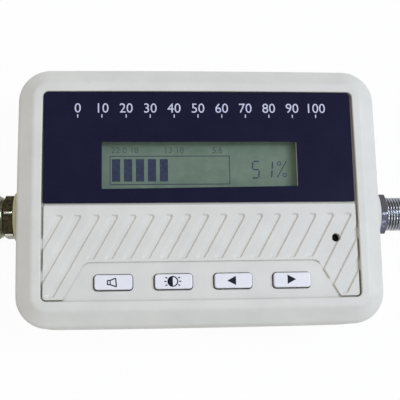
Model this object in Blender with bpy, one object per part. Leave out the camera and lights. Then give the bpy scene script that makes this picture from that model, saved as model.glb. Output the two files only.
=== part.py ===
"""Satellite signal meter: a two-shell case with a display, four keys and an F connector at each end.

It lies on its back. +Z is the display side, +X the right end, +Y the upper edge.
The origin is the centre of the flat rear face. All lengths are in metres.
"""

import math

import bmesh
import bpy
from mathutils import Vector

MM = 0.001
DEG = math.pi / 180

# Case: outer size, walls and the joint between the shells
CASE_LENGTH = 97.4 * MM
CASE_WIDTH = 69.7 * MM
REAR_HEIGHT = 13.0 * MM
FRONT_HEIGHT = 12.0 * MM
CASE_CORNER_RADIUS = 8.4 * MM
SIDE_SWELL = 0.25 * MM
WALL = 2.2 * MM
SHELL_GAP = 0.3 * MM
LIP_WALL = 1.0 * MM
LIP_HEIGHT = 1.2 * MM
LIP_FIT = 0.2 * MM
REAR_EDGE_WIDTH = 2.0 * MM
REAR_EDGE_DEPTH = 2.6 * MM
REAR_EDGE_BLEND = 2.0 * MM
FLOOR_THICKNESS = 2.2 * MM
FLOOR_SLOPE = 1.6 * MM

# Front face: sloping rim, recess, raised land and key panel. The land's upper edge has its place as a share
# of the recess's width.
RIM_SLOPE_WIDTH = 4.5 * MM
RIM_SLOPE_DEPTH = 3.0 * MM
RIM_FLAT = 2.3 * MM
RIM_FOOT_BLEND = 2.0 * MM
RIM_TOP_BLEND = 2.0 * MM
RIM_INNER_BLEND = 0.3 * MM
RECESS_RADIUS = 1.4 * MM
RECESS_DEPTH = 1.3 * MM
FACE_THICKNESS = 2.0 * MM
CAVITY_SLOPE = 2.7 * MM
LAND_RISE = 0.6 * MM
LAND_UPPER_PLACE_SHARE = 0.4492
LAND_GAP = 0.55 * MM
LAND_RADIUS = 0.8 * MM
LAND_ROOT = 0.5 * MM
SEAT_RISE = 0.3 * MM

# Diagonal grooves in the land
STRIPE_PITCH = 4.762 * MM
STRIPE_WIDTH = 2.4 * MM
STRIPE_DEPTH = 0.4 * MM
STRIPE_LEAN_IN = 0.4 * MM
STRIPE_START = 5.25 * MM
STRIPE_TOP_INSET = 2.55 * MM
STRIPE_MARGIN = 0.6 * MM
STRIPE_CORNER = 0.7 * MM
STRIPE_FOOT_CORNER = 0.35 * MM
STRIPE_ANGLE = 60.5 * DEG

# Label and its window. The label fills the recess above the land, and its window keeps a margin below it.
LABEL_SHIFT = -0.15 * MM
LABEL_END_GAP = 0.55 * MM
LABEL_TOP_GAP = 0.35 * MM
LABEL_LAND_GAP = 0.45 * MM
LABEL_THICKNESS = 0.4 * MM
LABEL_GLUE = 0.1 * MM
LABEL_UPPER_RADIUS = 1.3 * MM
LABEL_LOWER_RADIUS = 0.4 * MM
WINDOW_LENGTH = 52.3 * MM
WINDOW_WIDTH = 12.75 * MM
WINDOW_TAPER = 0.55 * MM
WINDOW_SHIFT = -0.1 * MM
WINDOW_LOWER_MARGIN = 3.75 * MM
WINDOW_RADIUS = 0.25 * MM
APERTURE_MARGIN = 0.25 * MM

# Keys, spread along the recess with a pitch that is a share of its length
KEY_NAMES = ("sound", "light", "left", "right")
KEY_LENGTH = 9.75 * MM
KEY_WIDTH = 3.85 * MM
KEY_RADIUS = 0.8 * MM
KEY_PITCH_SHARE = 0.18544
KEY_ROW_INSET = 4.85 * MM
KEY_SLOT_GAP = 0.25 * MM
KEY_RISE = 1.0 * MM
KEY_TOP_EDGE = 0.3 * MM
KEY_FLANGE = 0.8 * MM
KEY_FLANGE_THICKNESS = 1.0 * MM
KEY_STEM = 3.0 * MM
KEY_TRAVEL = 0.3 * MM
PANEL_END_MARGIN = 2.4 * MM
PANEL_UPPER_MARGIN = 3.4 * MM
PANEL_SHOULDER_RADIUS = 2.6 * MM
PANEL_SIDE_ANGLE = 59.5 * DEG

# Sound hole and sounder. The hole's place below the label is a share of the recess's width.
SOUND_HOLE_RADIUS = 1.15 * MM
SOUND_HOLE_INSET = 6.15 * MM
SOUND_HOLE_DROP_SHARE = 0.1631
SOUNDER_RADIUS = 6.0 * MM
SOUNDER_TOP_GAP = 1.2 * MM
SOUNDER_PORT_RADIUS = 1.0 * MM
SOUNDER_PORT_DEPTH = 1.5 * MM
SOUNDER_EDGE_GAP = 0.3 * MM

# Connectors, turned about an axis along X at the height of the shells' joint
JACK_Y = -4.25 * MM
BOSS_RADIUS = 6.7 * MM
BOSS_RISE = 1.25 * MM
BARREL_RADIUS = 4.7 * MM
BARREL_FIT = 0.2 * MM
BARREL_REACH = 11.55 * MM
BARREL_CHAMFER = 0.5 * MM
FLANGE_RADIUS = 6.0 * MM
FLANGE_THICKNESS = 1.5 * MM
TAIL_RADIUS = 3.6 * MM
TAIL_LENGTH = 3.2 * MM
WASHER_RADIUS = 5.9 * MM
WASHER_THICKNESS = 0.6 * MM
NUT_ACROSS_FLATS = 11.0 * MM
NUT_THICKNESS = 2.0 * MM
NUT_CHAMFER = 0.45 * MM
THREAD_FIT = 0.12 * MM
RIGHT_NUT_TURN = 37.0 * DEG
LEFT_NUT_TURN = 27.0 * DEG
JACK_BORE_RADIUS = 3.0 * MM
PLUG_BORE_RADIUS = 2.6 * MM
INSULATOR_FIT = 0.1 * MM
INSULATOR_INSET = 0.3 * MM
CONTACT_RADIUS = 0.45 * MM
CONTACT_FIT = 0.15 * MM
CONTACT_INSET = 3.0 * MM
CONTACT_LAP = 2.0 * MM
PIN_INSET = 0.5 * MM
NECK_RADIUS = 3.3 * MM
NECK_FIT = 0.3 * MM
PLUG_FLANGE_RADIUS = 4.2 * MM
PLUG_FLANGE_THICKNESS = 1.1 * MM
COUPLING_TURN = 8.0 * DEG
COUPLING_GAP = 0.2 * MM
COUPLING_LIP = 1.9 * MM
COUPLING_PLAY = 0.4 * MM
COUPLING_BORE_RADIUS = 4.8 * MM
COUPLING_FACE_RADIUS = 5.1 * MM
COUPLING_CHAMFER = 2.2 * MM
COUPLING_END_CHAMFER = 0.9 * MM

# Clearances between pieces that rest on each other
SEAT_GAP = 0.15 * MM
STACK_GAP = 0.1 * MM

# Case screws, their posts in the front shell and columns in the rear one
POST_INSET = 7.4 * MM
POST_RADIUS = 3.0 * MM
POST_JOINT_HEIGHT = 6.0 * MM
COLUMN_RADIUS = 3.7 * MM
CASE_SCREW_RADIUS = 1.3 * MM
CASE_SCREW_LENGTH = 11.0 * MM
CASE_HEAD_RADIUS = 2.5 * MM
CASE_HEAD_HEIGHT = 1.8 * MM
COUNTERBORE_DEPTH = 3.2 * MM
COUNTERBORE_FIT = 0.3 * MM
SCREW_FIT = 0.15 * MM
PILOT_SPARE = 1.0 * MM
SCREW_TIP = 0.8 * MM
DRIVE_LENGTH = 2.6 * MM
DRIVE_WIDTH = 0.6 * MM
DRIVE_DEPTH = 0.9 * MM

# Board, its screws and posts
BOARD_THICKNESS = 1.6 * MM
BOARD_POST_GAP = 0.6 * MM
BOARD_SIDE_GAP = 2.7 * MM
BOARD_CORNER = 1.0 * MM
BOARD_POST_RADIUS = 2.2 * MM
BOARD_POST_INSET = 2.8 * MM
BOARD_SCREW_RADIUS = 1.1 * MM
BOARD_SCREW_LENGTH = 7.0 * MM
BOARD_HEAD_RADIUS = 2.0 * MM
BOARD_HEAD_HEIGHT = 1.4 * MM
SMALL_DRIVE_LENGTH = 2.0 * MM
SMALL_DRIVE_WIDTH = 0.5 * MM
SMALL_DRIVE_DEPTH = 0.7 * MM

# Switches under the keys
SWITCH_SIZE = 6.0 * MM
SWITCH_HEIGHT = 3.4 * MM
SWITCH_EDGE = 0.4 * MM
PLUNGER_RADIUS = 1.7 * MM
PLUNGER_RISE = 1.5 * MM
PLUNGER_FIT = 0.25 * MM
WELL_DEPTH = 1.2 * MM
WELL_SPARE = 0.2 * MM

# Display module
POLARISER_THICKNESS = 0.25 * MM
POLARISER_INSET = 1.8 * MM
GLASS_THICKNESS = 2.2 * MM
GLASS_MARGIN = 3.1 * MM
GUIDE_THICKNESS = 3.0 * MM
GUIDE_END_INSET = 0.8 * MM
GUIDE_LOWER_INSET = 3.0 * MM
GUIDE_UPPER_INSET = 0.6 * MM
LAMP_BAY = 2.2 * MM
LAMP_THICKNESS = 1.3 * MM
LAMP_WIDTH = 3.0 * MM
LAMP_HEIGHT = 1.6 * MM
HOLDER_WALL = 1.6 * MM
HOLDER_FIT = 0.3 * MM
HOLDER_LEDGE = 3.2 * MM
STRIP_INSET = 0.35 * MM
STRIP_WIDTH = 1.3 * MM
STRIP_END_INSET = 5.3 * MM
STRIP_FIT = 0.15 * MM

# Other parts on the board. Each has its centre and its size as shares of the free bay that it stands in.
PART_CLEARANCE = 0.5 * MM
SHIELD_SHARES = (0.192, 0.56, 0.338, 0.741)
SHIELD_HEIGHT = 3.2 * MM
CHIP_SHARES = (0.49, 0.52, 0.161, 0.673)
CHIP_HEIGHT = 1.6 * MM
REGULATOR_SHARES = (0.66, 0.661, 0.106, 0.411)
REGULATOR_HEIGHT = 2.3 * MM
INDUCTOR_SHARES = (0.8, 0.318, 0.097, 0.404)
INDUCTOR_HEIGHT = 3.4 * MM
CRYSTAL_SHARES = (0.439, 0.5, 0.177, 0.5)
CRYSTAL_HEIGHT = 3.4 * MM
COMPONENT_EDGE = 0.5 * MM
# A capacitor's centre and radius as shares of its bay, and its height as a share of the room above it
SMALL_CAPACITOR_SHARES = (0.805, 0.782, 0.168, 0.652)
LARGE_CAPACITOR_SHARES = (0.725, 0.5, 0.344, 0.761)

# How far a cutter runs past the surface that it cuts
OVERRUN = 2.0 * MM

# Facets, the widest share of a side that a rounded corner may take, and the angle that shading keeps sharp
CORNER_STEPS = 6
SIDE_STEPS = 4
BLEND_STEPS = 3
TURNED_SIDES = 32
HEXAGON_SIDES = 48
SMALL_SIDES = 16
FILLET_SHARE = 0.46
SHARP_ANGLE = 35 * DEG

# Places that follow from the sizes above
HALF_LENGTH = CASE_LENGTH / 2
HALF_WIDTH = CASE_WIDTH / 2
CASE_HEIGHT = REAR_HEIGHT + FRONT_HEIGHT
JOINT_HEIGHT = REAR_HEIGHT
RIM_WIDTH = RIM_SLOPE_WIDTH + RIM_FLAT
RECESS_HALF_LENGTH = HALF_LENGTH - RIM_WIDTH
RECESS_HALF_WIDTH = HALF_WIDTH - RIM_WIDTH
PANEL_HEIGHT = CASE_HEIGHT - RECESS_DEPTH
LAND_HEIGHT = PANEL_HEIGHT + LAND_RISE
SEAT_HEIGHT = PANEL_HEIGHT + SEAT_RISE
FACE_UNDER = PANEL_HEIGHT - FACE_THICKNESS

LAND_UPPER_Y = 2 * RECESS_HALF_WIDTH * LAND_UPPER_PLACE_SHARE - RECESS_HALF_WIDTH
LAND_LOWER_Y = -RECESS_HALF_WIDTH + LAND_GAP
LAND_HALF_LENGTH = RECESS_HALF_LENGTH - LAND_GAP
LABEL_HALF_LENGTH = RECESS_HALF_LENGTH - LABEL_END_GAP
LABEL_UPPER_Y = RECESS_HALF_WIDTH - LABEL_TOP_GAP
LABEL_LOWER_Y = LAND_UPPER_Y + LABEL_LAND_GAP
LABEL_UNDER = SEAT_HEIGHT + LABEL_GLUE
WINDOW_LOWER_Y = LABEL_LOWER_Y + WINDOW_LOWER_MARGIN
WINDOW_UPPER_Y = WINDOW_LOWER_Y + WINDOW_WIDTH
WINDOW_Y = (WINDOW_LOWER_Y + WINDOW_UPPER_Y) / 2

KEY_PITCH = 2 * RECESS_HALF_LENGTH * KEY_PITCH_SHARE
KEY_Y = -RECESS_HALF_WIDTH + KEY_ROW_INSET
KEY_HEIGHT = PANEL_HEIGHT + KEY_RISE
KEY_ROW_HALF = KEY_PITCH * (len(KEY_NAMES) - 1) / 2
PANEL_UPPER_Y = KEY_Y + KEY_WIDTH / 2 + PANEL_UPPER_MARGIN
PANEL_UPPER_HALF = KEY_ROW_HALF + KEY_LENGTH / 2 + PANEL_END_MARGIN
PANEL_LOWER_HALF = PANEL_UPPER_HALF + (PANEL_UPPER_Y - LAND_LOWER_Y) / math.tan(PANEL_SIDE_ANGLE)
SOUND_HOLE_X = RECESS_HALF_LENGTH - SOUND_HOLE_INSET
SOUND_HOLE_Y = LAND_UPPER_Y - 2 * RECESS_HALF_WIDTH * SOUND_HOLE_DROP_SHARE

WALL_INSIDE = HALF_LENGTH - WALL
BOSS_FACE = HALF_LENGTH + BOSS_RISE
WASHER_OUTER = WALL_INSIDE - SEAT_GAP
WASHER_INNER = WASHER_OUTER - WASHER_THICKNESS
FLANGE_OUTER = WASHER_INNER - SEAT_GAP
FLANGE_INNER = FLANGE_OUTER - FLANGE_THICKNESS
TAIL_INNER = FLANGE_INNER - TAIL_LENGTH
NUT_INNER = BOSS_FACE + SEAT_GAP
NUT_OUTER = NUT_INNER + NUT_THICKNESS
BARREL_END = BOSS_FACE + BARREL_REACH
COUPLING_INNER = NUT_OUTER + COUPLING_GAP
COUPLING_LIP_FACE = COUPLING_INNER + COUPLING_LIP
PLUG_FLANGE_INNER = COUPLING_LIP_FACE + COUPLING_PLAY
PLUG_FLANGE_OUTER = PLUG_FLANGE_INNER + PLUG_FLANGE_THICKNESS

POST_X = HALF_LENGTH - POST_INSET
POST_Y = HALF_WIDTH - POST_INSET
BOARD_HALF_LENGTH = POST_X - POST_RADIUS - BOARD_POST_GAP
BOARD_HALF_WIDTH = HALF_WIDTH - WALL - BOARD_SIDE_GAP
BOARD_UPPER = JOINT_HEIGHT - CONTACT_RADIUS - SEAT_GAP
BOARD_LOWER = BOARD_UPPER - BOARD_THICKNESS
BOARD_POST_X = BOARD_HALF_LENGTH - BOARD_POST_INSET
BOARD_POST_Y = BOARD_HALF_WIDTH - BOARD_POST_INSET
CONTACT_INNER = BOARD_HALF_LENGTH - CONTACT_LAP
PARTS_LEVEL = BOARD_UPPER + STACK_GAP
PARTS_ROOM = FACE_UNDER - PARTS_LEVEL

SWITCH_TOP = PARTS_LEVEL + SWITCH_HEIGHT
PLUNGER_TOP = SWITCH_TOP + PLUNGER_RISE
WELL_BOTTOM = SWITCH_TOP - WELL_DEPTH

GLASS_HALF_LENGTH = WINDOW_LENGTH / 2 + GLASS_MARGIN
GLASS_HALF_WIDTH = WINDOW_WIDTH / 2 + GLASS_MARGIN
HOLDER_HALF_LENGTH = GLASS_HALF_LENGTH + HOLDER_FIT + HOLDER_WALL
HOLDER_HALF_WIDTH = GLASS_HALF_WIDTH + HOLDER_FIT + HOLDER_WALL
FRONT_POLARISER_TOP = FACE_UNDER - SEAT_GAP
GLASS_TOP = FRONT_POLARISER_TOP - POLARISER_THICKNESS - STACK_GAP
GLASS_BOTTOM = GLASS_TOP - GLASS_THICKNESS
REAR_POLARISER_TOP = GLASS_BOTTOM - STACK_GAP
GUIDE_TOP = REAR_POLARISER_TOP - POLARISER_THICKNESS - STACK_GAP
GUIDE_BOTTOM = GUIDE_TOP - GUIDE_THICKNESS
GUIDE_LOWER_Y = WINDOW_Y - GLASS_HALF_WIDTH + GUIDE_LOWER_INSET
GUIDE_UPPER_Y = WINDOW_Y + GLASS_HALF_WIDTH - GUIDE_UPPER_INSET
GUIDE_LEFT_X = WINDOW_SHIFT - GLASS_HALF_LENGTH + GUIDE_END_INSET
GUIDE_RIGHT_X = WINDOW_SHIFT + GLASS_HALF_LENGTH - GUIDE_END_INSET
STRIP_LOWER_Y = WINDOW_Y - GLASS_HALF_WIDTH + STRIP_INSET
STRIP_UPPER_Y = STRIP_LOWER_Y + STRIP_WIDTH
STRIP_HALF_LENGTH = GLASS_HALF_LENGTH - STRIP_END_INSET


def clear_scene():
    for item in list(bpy.data.objects):
        bpy.data.objects.remove(item, do_unlink=True)


def finish(name, colour, roughness, metallic=0.0):
    """A plain material in the piece's own colour."""
    material = bpy.data.materials.new(name)
    material.use_nodes = True
    shader = material.node_tree.nodes["Principled BSDF"]
    shader.inputs["Base Color"].default_value = (*colour, 1.0)
    shader.inputs["Roughness"].default_value = roughness
    shader.inputs["Metallic"].default_value = metallic
    return material


def make_object(name, mesh_data, origin):
    """An object whose mesh was drawn in the meter's frame, with its own origin at a chosen point."""
    bmesh.ops.recalc_face_normals(mesh_data, faces=mesh_data.faces)
    bmesh.ops.translate(mesh_data, verts=mesh_data.verts, vec=-Vector(origin))
    mesh = bpy.data.meshes.new(name)
    mesh_data.to_mesh(mesh)
    mesh_data.free()
    item = bpy.data.objects.new(name, mesh)
    item.location = origin
    bpy.context.scene.collection.objects.link(item)
    return item


def make_piece(name, mesh_data, material, origin=(0, 0, 0), smooth=False):
    item = make_object(name, mesh_data, origin)
    item.data.materials.append(material)
    if smooth:
        item.data.shade_smooth()
        item.data.set_sharp_from_angle(angle=SHARP_ANGLE)
    item.parent = meter
    return item


def combine(target, mesh_data, operation):
    """Adds or takes away a shape with a Boolean modifier. The shape stays as a hidden wire guide."""
    name = f"{target.name}_{operation.lower()}_{len(target.modifiers)}"
    tool = make_object(name, mesh_data, target.location)
    tool.hide_render = True
    tool.display_type = "WIRE"
    tool.parent = meter
    modifier = target.modifiers.new(name, "BOOLEAN")
    modifier.object = tool
    modifier.operation = operation
    modifier.solver = "EXACT"


def cut(target, mesh_data):
    combine(target, mesh_data, "DIFFERENCE")


def join(target, mesh_data):
    combine(target, mesh_data, "UNION")


def add_loft(mesh_data, rings, closed=False):
    """Skins rings of equal point count. Its ends are capped, or the last ring meets the first."""
    loops = [[mesh_data.verts.new(point) for point in ring] for ring in rings]
    pairs = list(zip(loops, loops[1:]))
    if closed:
        pairs.append((loops[-1], loops[0]))
    else:
        mesh_data.faces.new(list(reversed(loops[0])))
        mesh_data.faces.new(loops[-1])
    for lower, upper in pairs:
        for index in range(len(lower)):
            after = (index + 1) % len(lower)
            mesh_data.faces.new((lower[index], lower[after], upper[after], upper[index]))


def at_height(outline, height):
    return [(x, y, height) for x, y in outline]


def add_prism(mesh_data, outline, low, high):
    add_loft(mesh_data, [at_height(outline, low), at_height(outline, high)])


def add_box(mesh_data, low, high):
    outline = [(low[0], low[1]), (high[0], low[1]), (high[0], high[1]), (low[0], high[1])]
    add_prism(mesh_data, outline, low[2], high[2])


def box_between(low, high):
    mesh_data = bmesh.new()
    add_box(mesh_data, low, high)
    return mesh_data


def plate(centre, half_length, half_width, low, high):
    return box_between(
        (centre[0] - half_length, centre[1] - half_width, low),
        (centre[0] + half_length, centre[1] + half_width, high),
    )


def circle(centre, radius, sides):
    angles = [2 * math.pi * step / sides for step in range(sides)]
    return [(centre[0] + radius * math.cos(a), centre[1] + radius * math.sin(a)) for a in angles]


def add_upright(mesh_data, centre, stations, sides, closed=False):
    """Turns (radius, height) stations about a vertical axis."""
    rings = [at_height(circle(centre, radius, sides), height) for radius, height in stations]
    add_loft(mesh_data, rings, closed)


def jack_ring(side, distance, radius, sides=TURNED_SIDES, turn=0.0):
    """A ring round a connector's axis, at a distance from the case's middle on one side of it."""
    angles = [turn + 2 * math.pi * step / sides for step in range(sides)]
    return [
        (side * distance, JACK_Y + radius * math.cos(a), JOINT_HEIGHT + radius * math.sin(a))
        for a in angles
    ]


def add_turned(mesh_data, side, stations, closed=False, sides=TURNED_SIDES):
    """Turns (distance, radius) stations about a connector's axis."""
    rings = [jack_ring(side, distance, radius, sides) for distance, radius in stations]
    add_loft(mesh_data, rings, closed)


def rounded_path(corners, closed=True, steps=BLEND_STEPS):
    """Points along (x, y, radius) corners, each rounded by an arc that fits between its neighbours."""
    points = []
    for index, (x, y, radius) in enumerate(corners):
        here = Vector((x, y))
        at_end = not closed and index in (0, len(corners) - 1)
        if radius <= 0 or at_end:
            points.append((x, y))
            continue
        before = Vector(corners[index - 1][:2]) - here
        after = Vector(corners[(index + 1) % len(corners)][:2]) - here
        half_angle = before.angle(after) / 2
        longest = FILLET_SHARE * min(before.length, after.length)
        reach = min(radius / math.tan(half_angle), longest)
        fitted = reach * math.tan(half_angle)
        middle = (before.normalized() + after.normalized()).normalized()
        centre = here + middle * (fitted / math.sin(half_angle))
        start = here + before.normalized() * reach - centre
        sweep = math.pi - 2 * half_angle
        if before.cross(after) > 0:
            sweep = -sweep
        for step in range(steps + 1):
            angle = math.atan2(start.y, start.x) + sweep * step / steps
            points.append((centre.x + fitted * math.cos(angle), centre.y + fitted * math.sin(angle)))
    return points


def rounded_rectangle(centre, half_length, half_width, radius, steps=BLEND_STEPS):
    x, y = centre
    corners = [
        (x - half_length, y - half_width, radius),
        (x + half_length, y - half_width, radius),
        (x + half_length, y + half_width, radius),
        (x - half_length, y + half_width, radius),
    ]
    return rounded_path(corners, steps=steps)


def swollen(x, y):
    """Moves a point outward by the slight bulge of the case's sides, which is largest at their middles."""
    along = 1 - (x / HALF_LENGTH) ** 2
    across = 1 - (y / HALF_WIDTH) ** 2
    return x * (1 + SIDE_SWELL * across / HALF_LENGTH), y * (1 + SIDE_SWELL * along / HALF_WIDTH)


def case_ring(inset, height):
    """The case's outline at a height, set in from its widest line."""
    radius = CASE_CORNER_RADIUS - (CASE_CORNER_RADIUS - RECESS_RADIUS) * inset / RIM_WIDTH
    half_length = HALF_LENGTH - SIDE_SWELL - inset
    half_width = HALF_WIDTH - SIDE_SWELL - inset
    plain = rounded_rectangle((0, 0), half_length, half_width, radius, CORNER_STEPS)
    points = []
    for index, here in enumerate(plain):
        points.append(here)
        if (index + 1) % (CORNER_STEPS + 1):
            continue
        there = plain[(index + 1) % len(plain)]
        for step in range(1, SIDE_STEPS):
            share = step / SIDE_STEPS
            points.append(tuple(a + (b - a) * share for a, b in zip(here, there)))
    return [(*swollen(x, y), height) for x, y in points]


def case_loft(profile):
    """A solid of the case's outline along (inset, height) stations."""
    mesh_data = bmesh.new()
    add_loft(mesh_data, [case_ring(inset, height) for inset, height in profile])
    return mesh_data


def jack_cylinders(radius, inner, outer):
    mesh_data = bmesh.new()
    for side in (-1, 1):
        add_turned(mesh_data, side, [(inner, radius), (outer, radius)])
    return mesh_data


def slab(low, high):
    """A box wider than the case between two heights."""
    return plate((0, 0), BARREL_END + OVERRUN, HALF_WIDTH + OVERRUN, low, high)


def corner_places(x, y):
    return [(sign_x * x, sign_y * y) for sign_x in (-1, 1) for sign_y in (-1, 1)]


def uprights(places, stations, sides=SMALL_SIDES):
    mesh_data = bmesh.new()
    for centre in places:
        add_upright(mesh_data, centre, stations, sides)
    return mesh_data


def key_places():
    return [(index * KEY_PITCH - KEY_ROW_HALF, KEY_Y) for index in range(len(KEY_NAMES))]


def front_outer_profile():
    low = JOINT_HEIGHT - OVERRUN
    corners = [
        (0, low, 0),
        (0, CASE_HEIGHT - RIM_SLOPE_DEPTH, RIM_FOOT_BLEND),
        (RIM_SLOPE_WIDTH, CASE_HEIGHT, RIM_TOP_BLEND),
        (RIM_WIDTH, CASE_HEIGHT, RIM_INNER_BLEND),
        (RIM_WIDTH, PANEL_HEIGHT, 0),
    ]
    return rounded_path(corners, closed=False)


def front_cavity_profile():
    rebate_inset = WALL - LIP_WALL - LIP_FIT
    rebate_height = JOINT_HEIGHT + LIP_HEIGHT + LIP_FIT
    return [
        (rebate_inset, JOINT_HEIGHT - 2 * OVERRUN),
        (rebate_inset, rebate_height),
        (WALL, rebate_height),
        (WALL, FACE_UNDER - CAVITY_SLOPE),
        (WALL + CAVITY_SLOPE, FACE_UNDER),
    ]


def land_outline():
    """The striped land: a band across the recess with the key panel's shape cut from its lower side."""
    lower, upper = LAND_LOWER_Y, LAND_UPPER_Y
    corners = [
        (-LAND_HALF_LENGTH, lower, LAND_RADIUS),
        (-PANEL_LOWER_HALF, lower, 0),
        (-PANEL_UPPER_HALF, PANEL_UPPER_Y, PANEL_SHOULDER_RADIUS),
        (PANEL_UPPER_HALF, PANEL_UPPER_Y, PANEL_SHOULDER_RADIUS),
        (PANEL_LOWER_HALF, lower, 0),
        (LAND_HALF_LENGTH, lower, LAND_RADIUS),
        (LAND_HALF_LENGTH, upper, 0),
        (-LAND_HALF_LENGTH, upper, 0),
    ]
    return rounded_path(corners)


def raised_land():
    mesh_data = bmesh.new()
    add_prism(mesh_data, land_outline(), PANEL_HEIGHT - LAND_ROOT, LAND_HEIGHT)
    return mesh_data


def label_seat():
    """The low step that the label is stuck to. It meets the land."""
    mesh_data = bmesh.new()
    lower = LAND_UPPER_Y - LAND_GAP
    upper = LABEL_UPPER_Y
    middle = (0, (lower + upper) / 2)
    outline = rounded_rectangle(middle, LAND_HALF_LENGTH, (upper - lower) / 2, LAND_RADIUS)
    add_prism(mesh_data, outline, PANEL_HEIGHT - LAND_ROOT, SEAT_HEIGHT)
    return mesh_data


def clipped(outline, point, inward):
    """The part of a convex outline on the side of the line through a point that inward points to."""
    kept = []
    for index, here in enumerate(outline):
        there = outline[(index + 1) % len(outline)]
        depth_here = (Vector(here) - Vector(point)).dot(Vector(inward))
        depth_there = (Vector(there) - Vector(point)).dot(Vector(inward))
        if depth_here >= 0:
            kept.append(here)
        if depth_here * depth_there < 0:
            crossing = Vector(here).lerp(Vector(there), depth_here / (depth_here - depth_there))
            kept.append(tuple(crossing))
    return kept


def set_in(outline, distance):
    """A convex outline, counter-clockwise, with each side moved inward by a distance."""
    corners = []
    for index, here in enumerate(outline):
        before = (Vector(here) - Vector(outline[index - 1])).normalized()
        after = (Vector(outline[(index + 1) % len(outline)]) - Vector(here)).normalized()
        bisector = (after - before).normalized()
        sine = abs(after.cross(bisector))
        corners.append(tuple(Vector(here) + bisector * (distance / sine)))
    return corners


def stripe_outline(corner_x):
    """One groove's outline, from its upper right corner down along the lean, ended by the land's edges."""
    top = LAND_UPPER_Y - STRIPE_TOP_INSET
    lean = Vector((math.cos(STRIPE_ANGLE), math.sin(STRIPE_ANGLE)))
    right = Vector((corner_x, top))
    left = right - Vector((STRIPE_WIDTH, 0))
    fall = lean * (RECESS_HALF_WIDTH * 2)
    outline = [tuple(left), tuple(left - fall), tuple(right - fall), tuple(right)]
    outline = clipped(outline, (-LAND_HALF_LENGTH + STRIPE_MARGIN, 0), (1, 0))
    outline = clipped(outline, (LAND_HALF_LENGTH - STRIPE_MARGIN, 0), (-1, 0))
    outline = clipped(outline, (0, LAND_LOWER_Y + STRIPE_MARGIN), (0, 1))
    panel_stop = PANEL_UPPER_Y + STRIPE_MARGIN
    meets_at = corner_x - STRIPE_WIDTH / 2 - (top - panel_stop) / math.tan(STRIPE_ANGLE)
    if abs(meets_at) < PANEL_UPPER_HALF:
        return clipped(outline, (0, panel_stop), (0, 1))
    side = 1 if meets_at > 0 else -1
    outward = Vector((side * math.sin(PANEL_SIDE_ANGLE), math.cos(PANEL_SIDE_ANGLE)))
    shoulder = Vector((side * PANEL_UPPER_HALF, PANEL_UPPER_Y))
    return clipped(outline, tuple(shoulder + outward * STRIPE_MARGIN), tuple(outward))


def shortest_side(outline):
    sides = zip(outline, outline[1:] + outline[:1])
    return min((Vector(a) - Vector(b)).length for a, b in sides)


def stripe_cutters():
    """A shallow groove with leaning walls for each stripe that fits on the land."""
    mesh_data = bmesh.new()
    corner_x = -LAND_HALF_LENGTH + STRIPE_START
    reach = (LAND_UPPER_Y - LAND_LOWER_Y) / math.tan(STRIPE_ANGLE)
    while corner_x < LAND_HALF_LENGTH + reach:
        outline = stripe_outline(corner_x)
        if len(outline) > 2 and shortest_side(outline) > STRIPE_LEAN_IN:
            top = rounded_path([(x, y, STRIPE_CORNER) for x, y in outline])
            foot = rounded_path([(x, y, STRIPE_FOOT_CORNER) for x, y in set_in(outline, STRIPE_LEAN_IN)])
            rings = [
                at_height(foot, LAND_HEIGHT - STRIPE_DEPTH),
                at_height(top, LAND_HEIGHT),
                at_height(top, LAND_HEIGHT + OVERRUN),
            ]
            add_loft(mesh_data, rings)
        corner_x += STRIPE_PITCH
    return mesh_data


def window_corners(margin=0.0):
    """The window cut in the label, whose lower edge rises a little to the right."""
    left = WINDOW_SHIFT - WINDOW_LENGTH / 2 - margin
    right = WINDOW_SHIFT + WINDOW_LENGTH / 2 + margin
    upper = WINDOW_UPPER_Y + margin
    lower = WINDOW_LOWER_Y - margin
    return left, right, lower, upper


def face_cutters():
    """The display aperture, the key slots and the sound hole, all through the front face."""
    mesh_data = bmesh.new()
    low = FACE_UNDER - OVERRUN
    high = CASE_HEIGHT + OVERRUN
    left, right, lower, upper = window_corners(APERTURE_MARGIN)
    add_box(mesh_data, (left, lower, low), (right, upper, high))
    for centre in key_places():
        half_length = KEY_LENGTH / 2 + KEY_SLOT_GAP
        half_width = KEY_WIDTH / 2 + KEY_SLOT_GAP
        outline = rounded_rectangle(centre, half_length, half_width, KEY_RADIUS + KEY_SLOT_GAP)
        add_prism(mesh_data, outline, low, high)
    hole = (SOUND_HOLE_X, SOUND_HOLE_Y)
    add_upright(mesh_data, hole, [(SOUND_HOLE_RADIUS, low), (SOUND_HOLE_RADIUS, high)], SMALL_SIDES)
    return mesh_data


def front_posts():
    """Posts for the case screws and for the board, hanging from the underside of the face."""
    mesh_data = bmesh.new()
    root = FACE_UNDER + LAND_ROOT
    for centre in corner_places(POST_X, POST_Y):
        foot = POST_JOINT_HEIGHT + SEAT_GAP
        add_upright(mesh_data, centre, [(POST_RADIUS, foot), (POST_RADIUS, root)], SMALL_SIDES)
    for centre in corner_places(BOARD_POST_X, BOARD_POST_Y):
        foot = BOARD_UPPER + SEAT_GAP
        add_upright(mesh_data, centre, [(BOARD_POST_RADIUS, foot), (BOARD_POST_RADIUS, root)], SMALL_SIDES)
    return mesh_data


def case_screw_tip_height():
    return COUNTERBORE_DEPTH + SEAT_GAP + CASE_SCREW_LENGTH


def board_screw_tip_height():
    return BOARD_LOWER - SEAT_GAP + BOARD_SCREW_LENGTH


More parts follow.
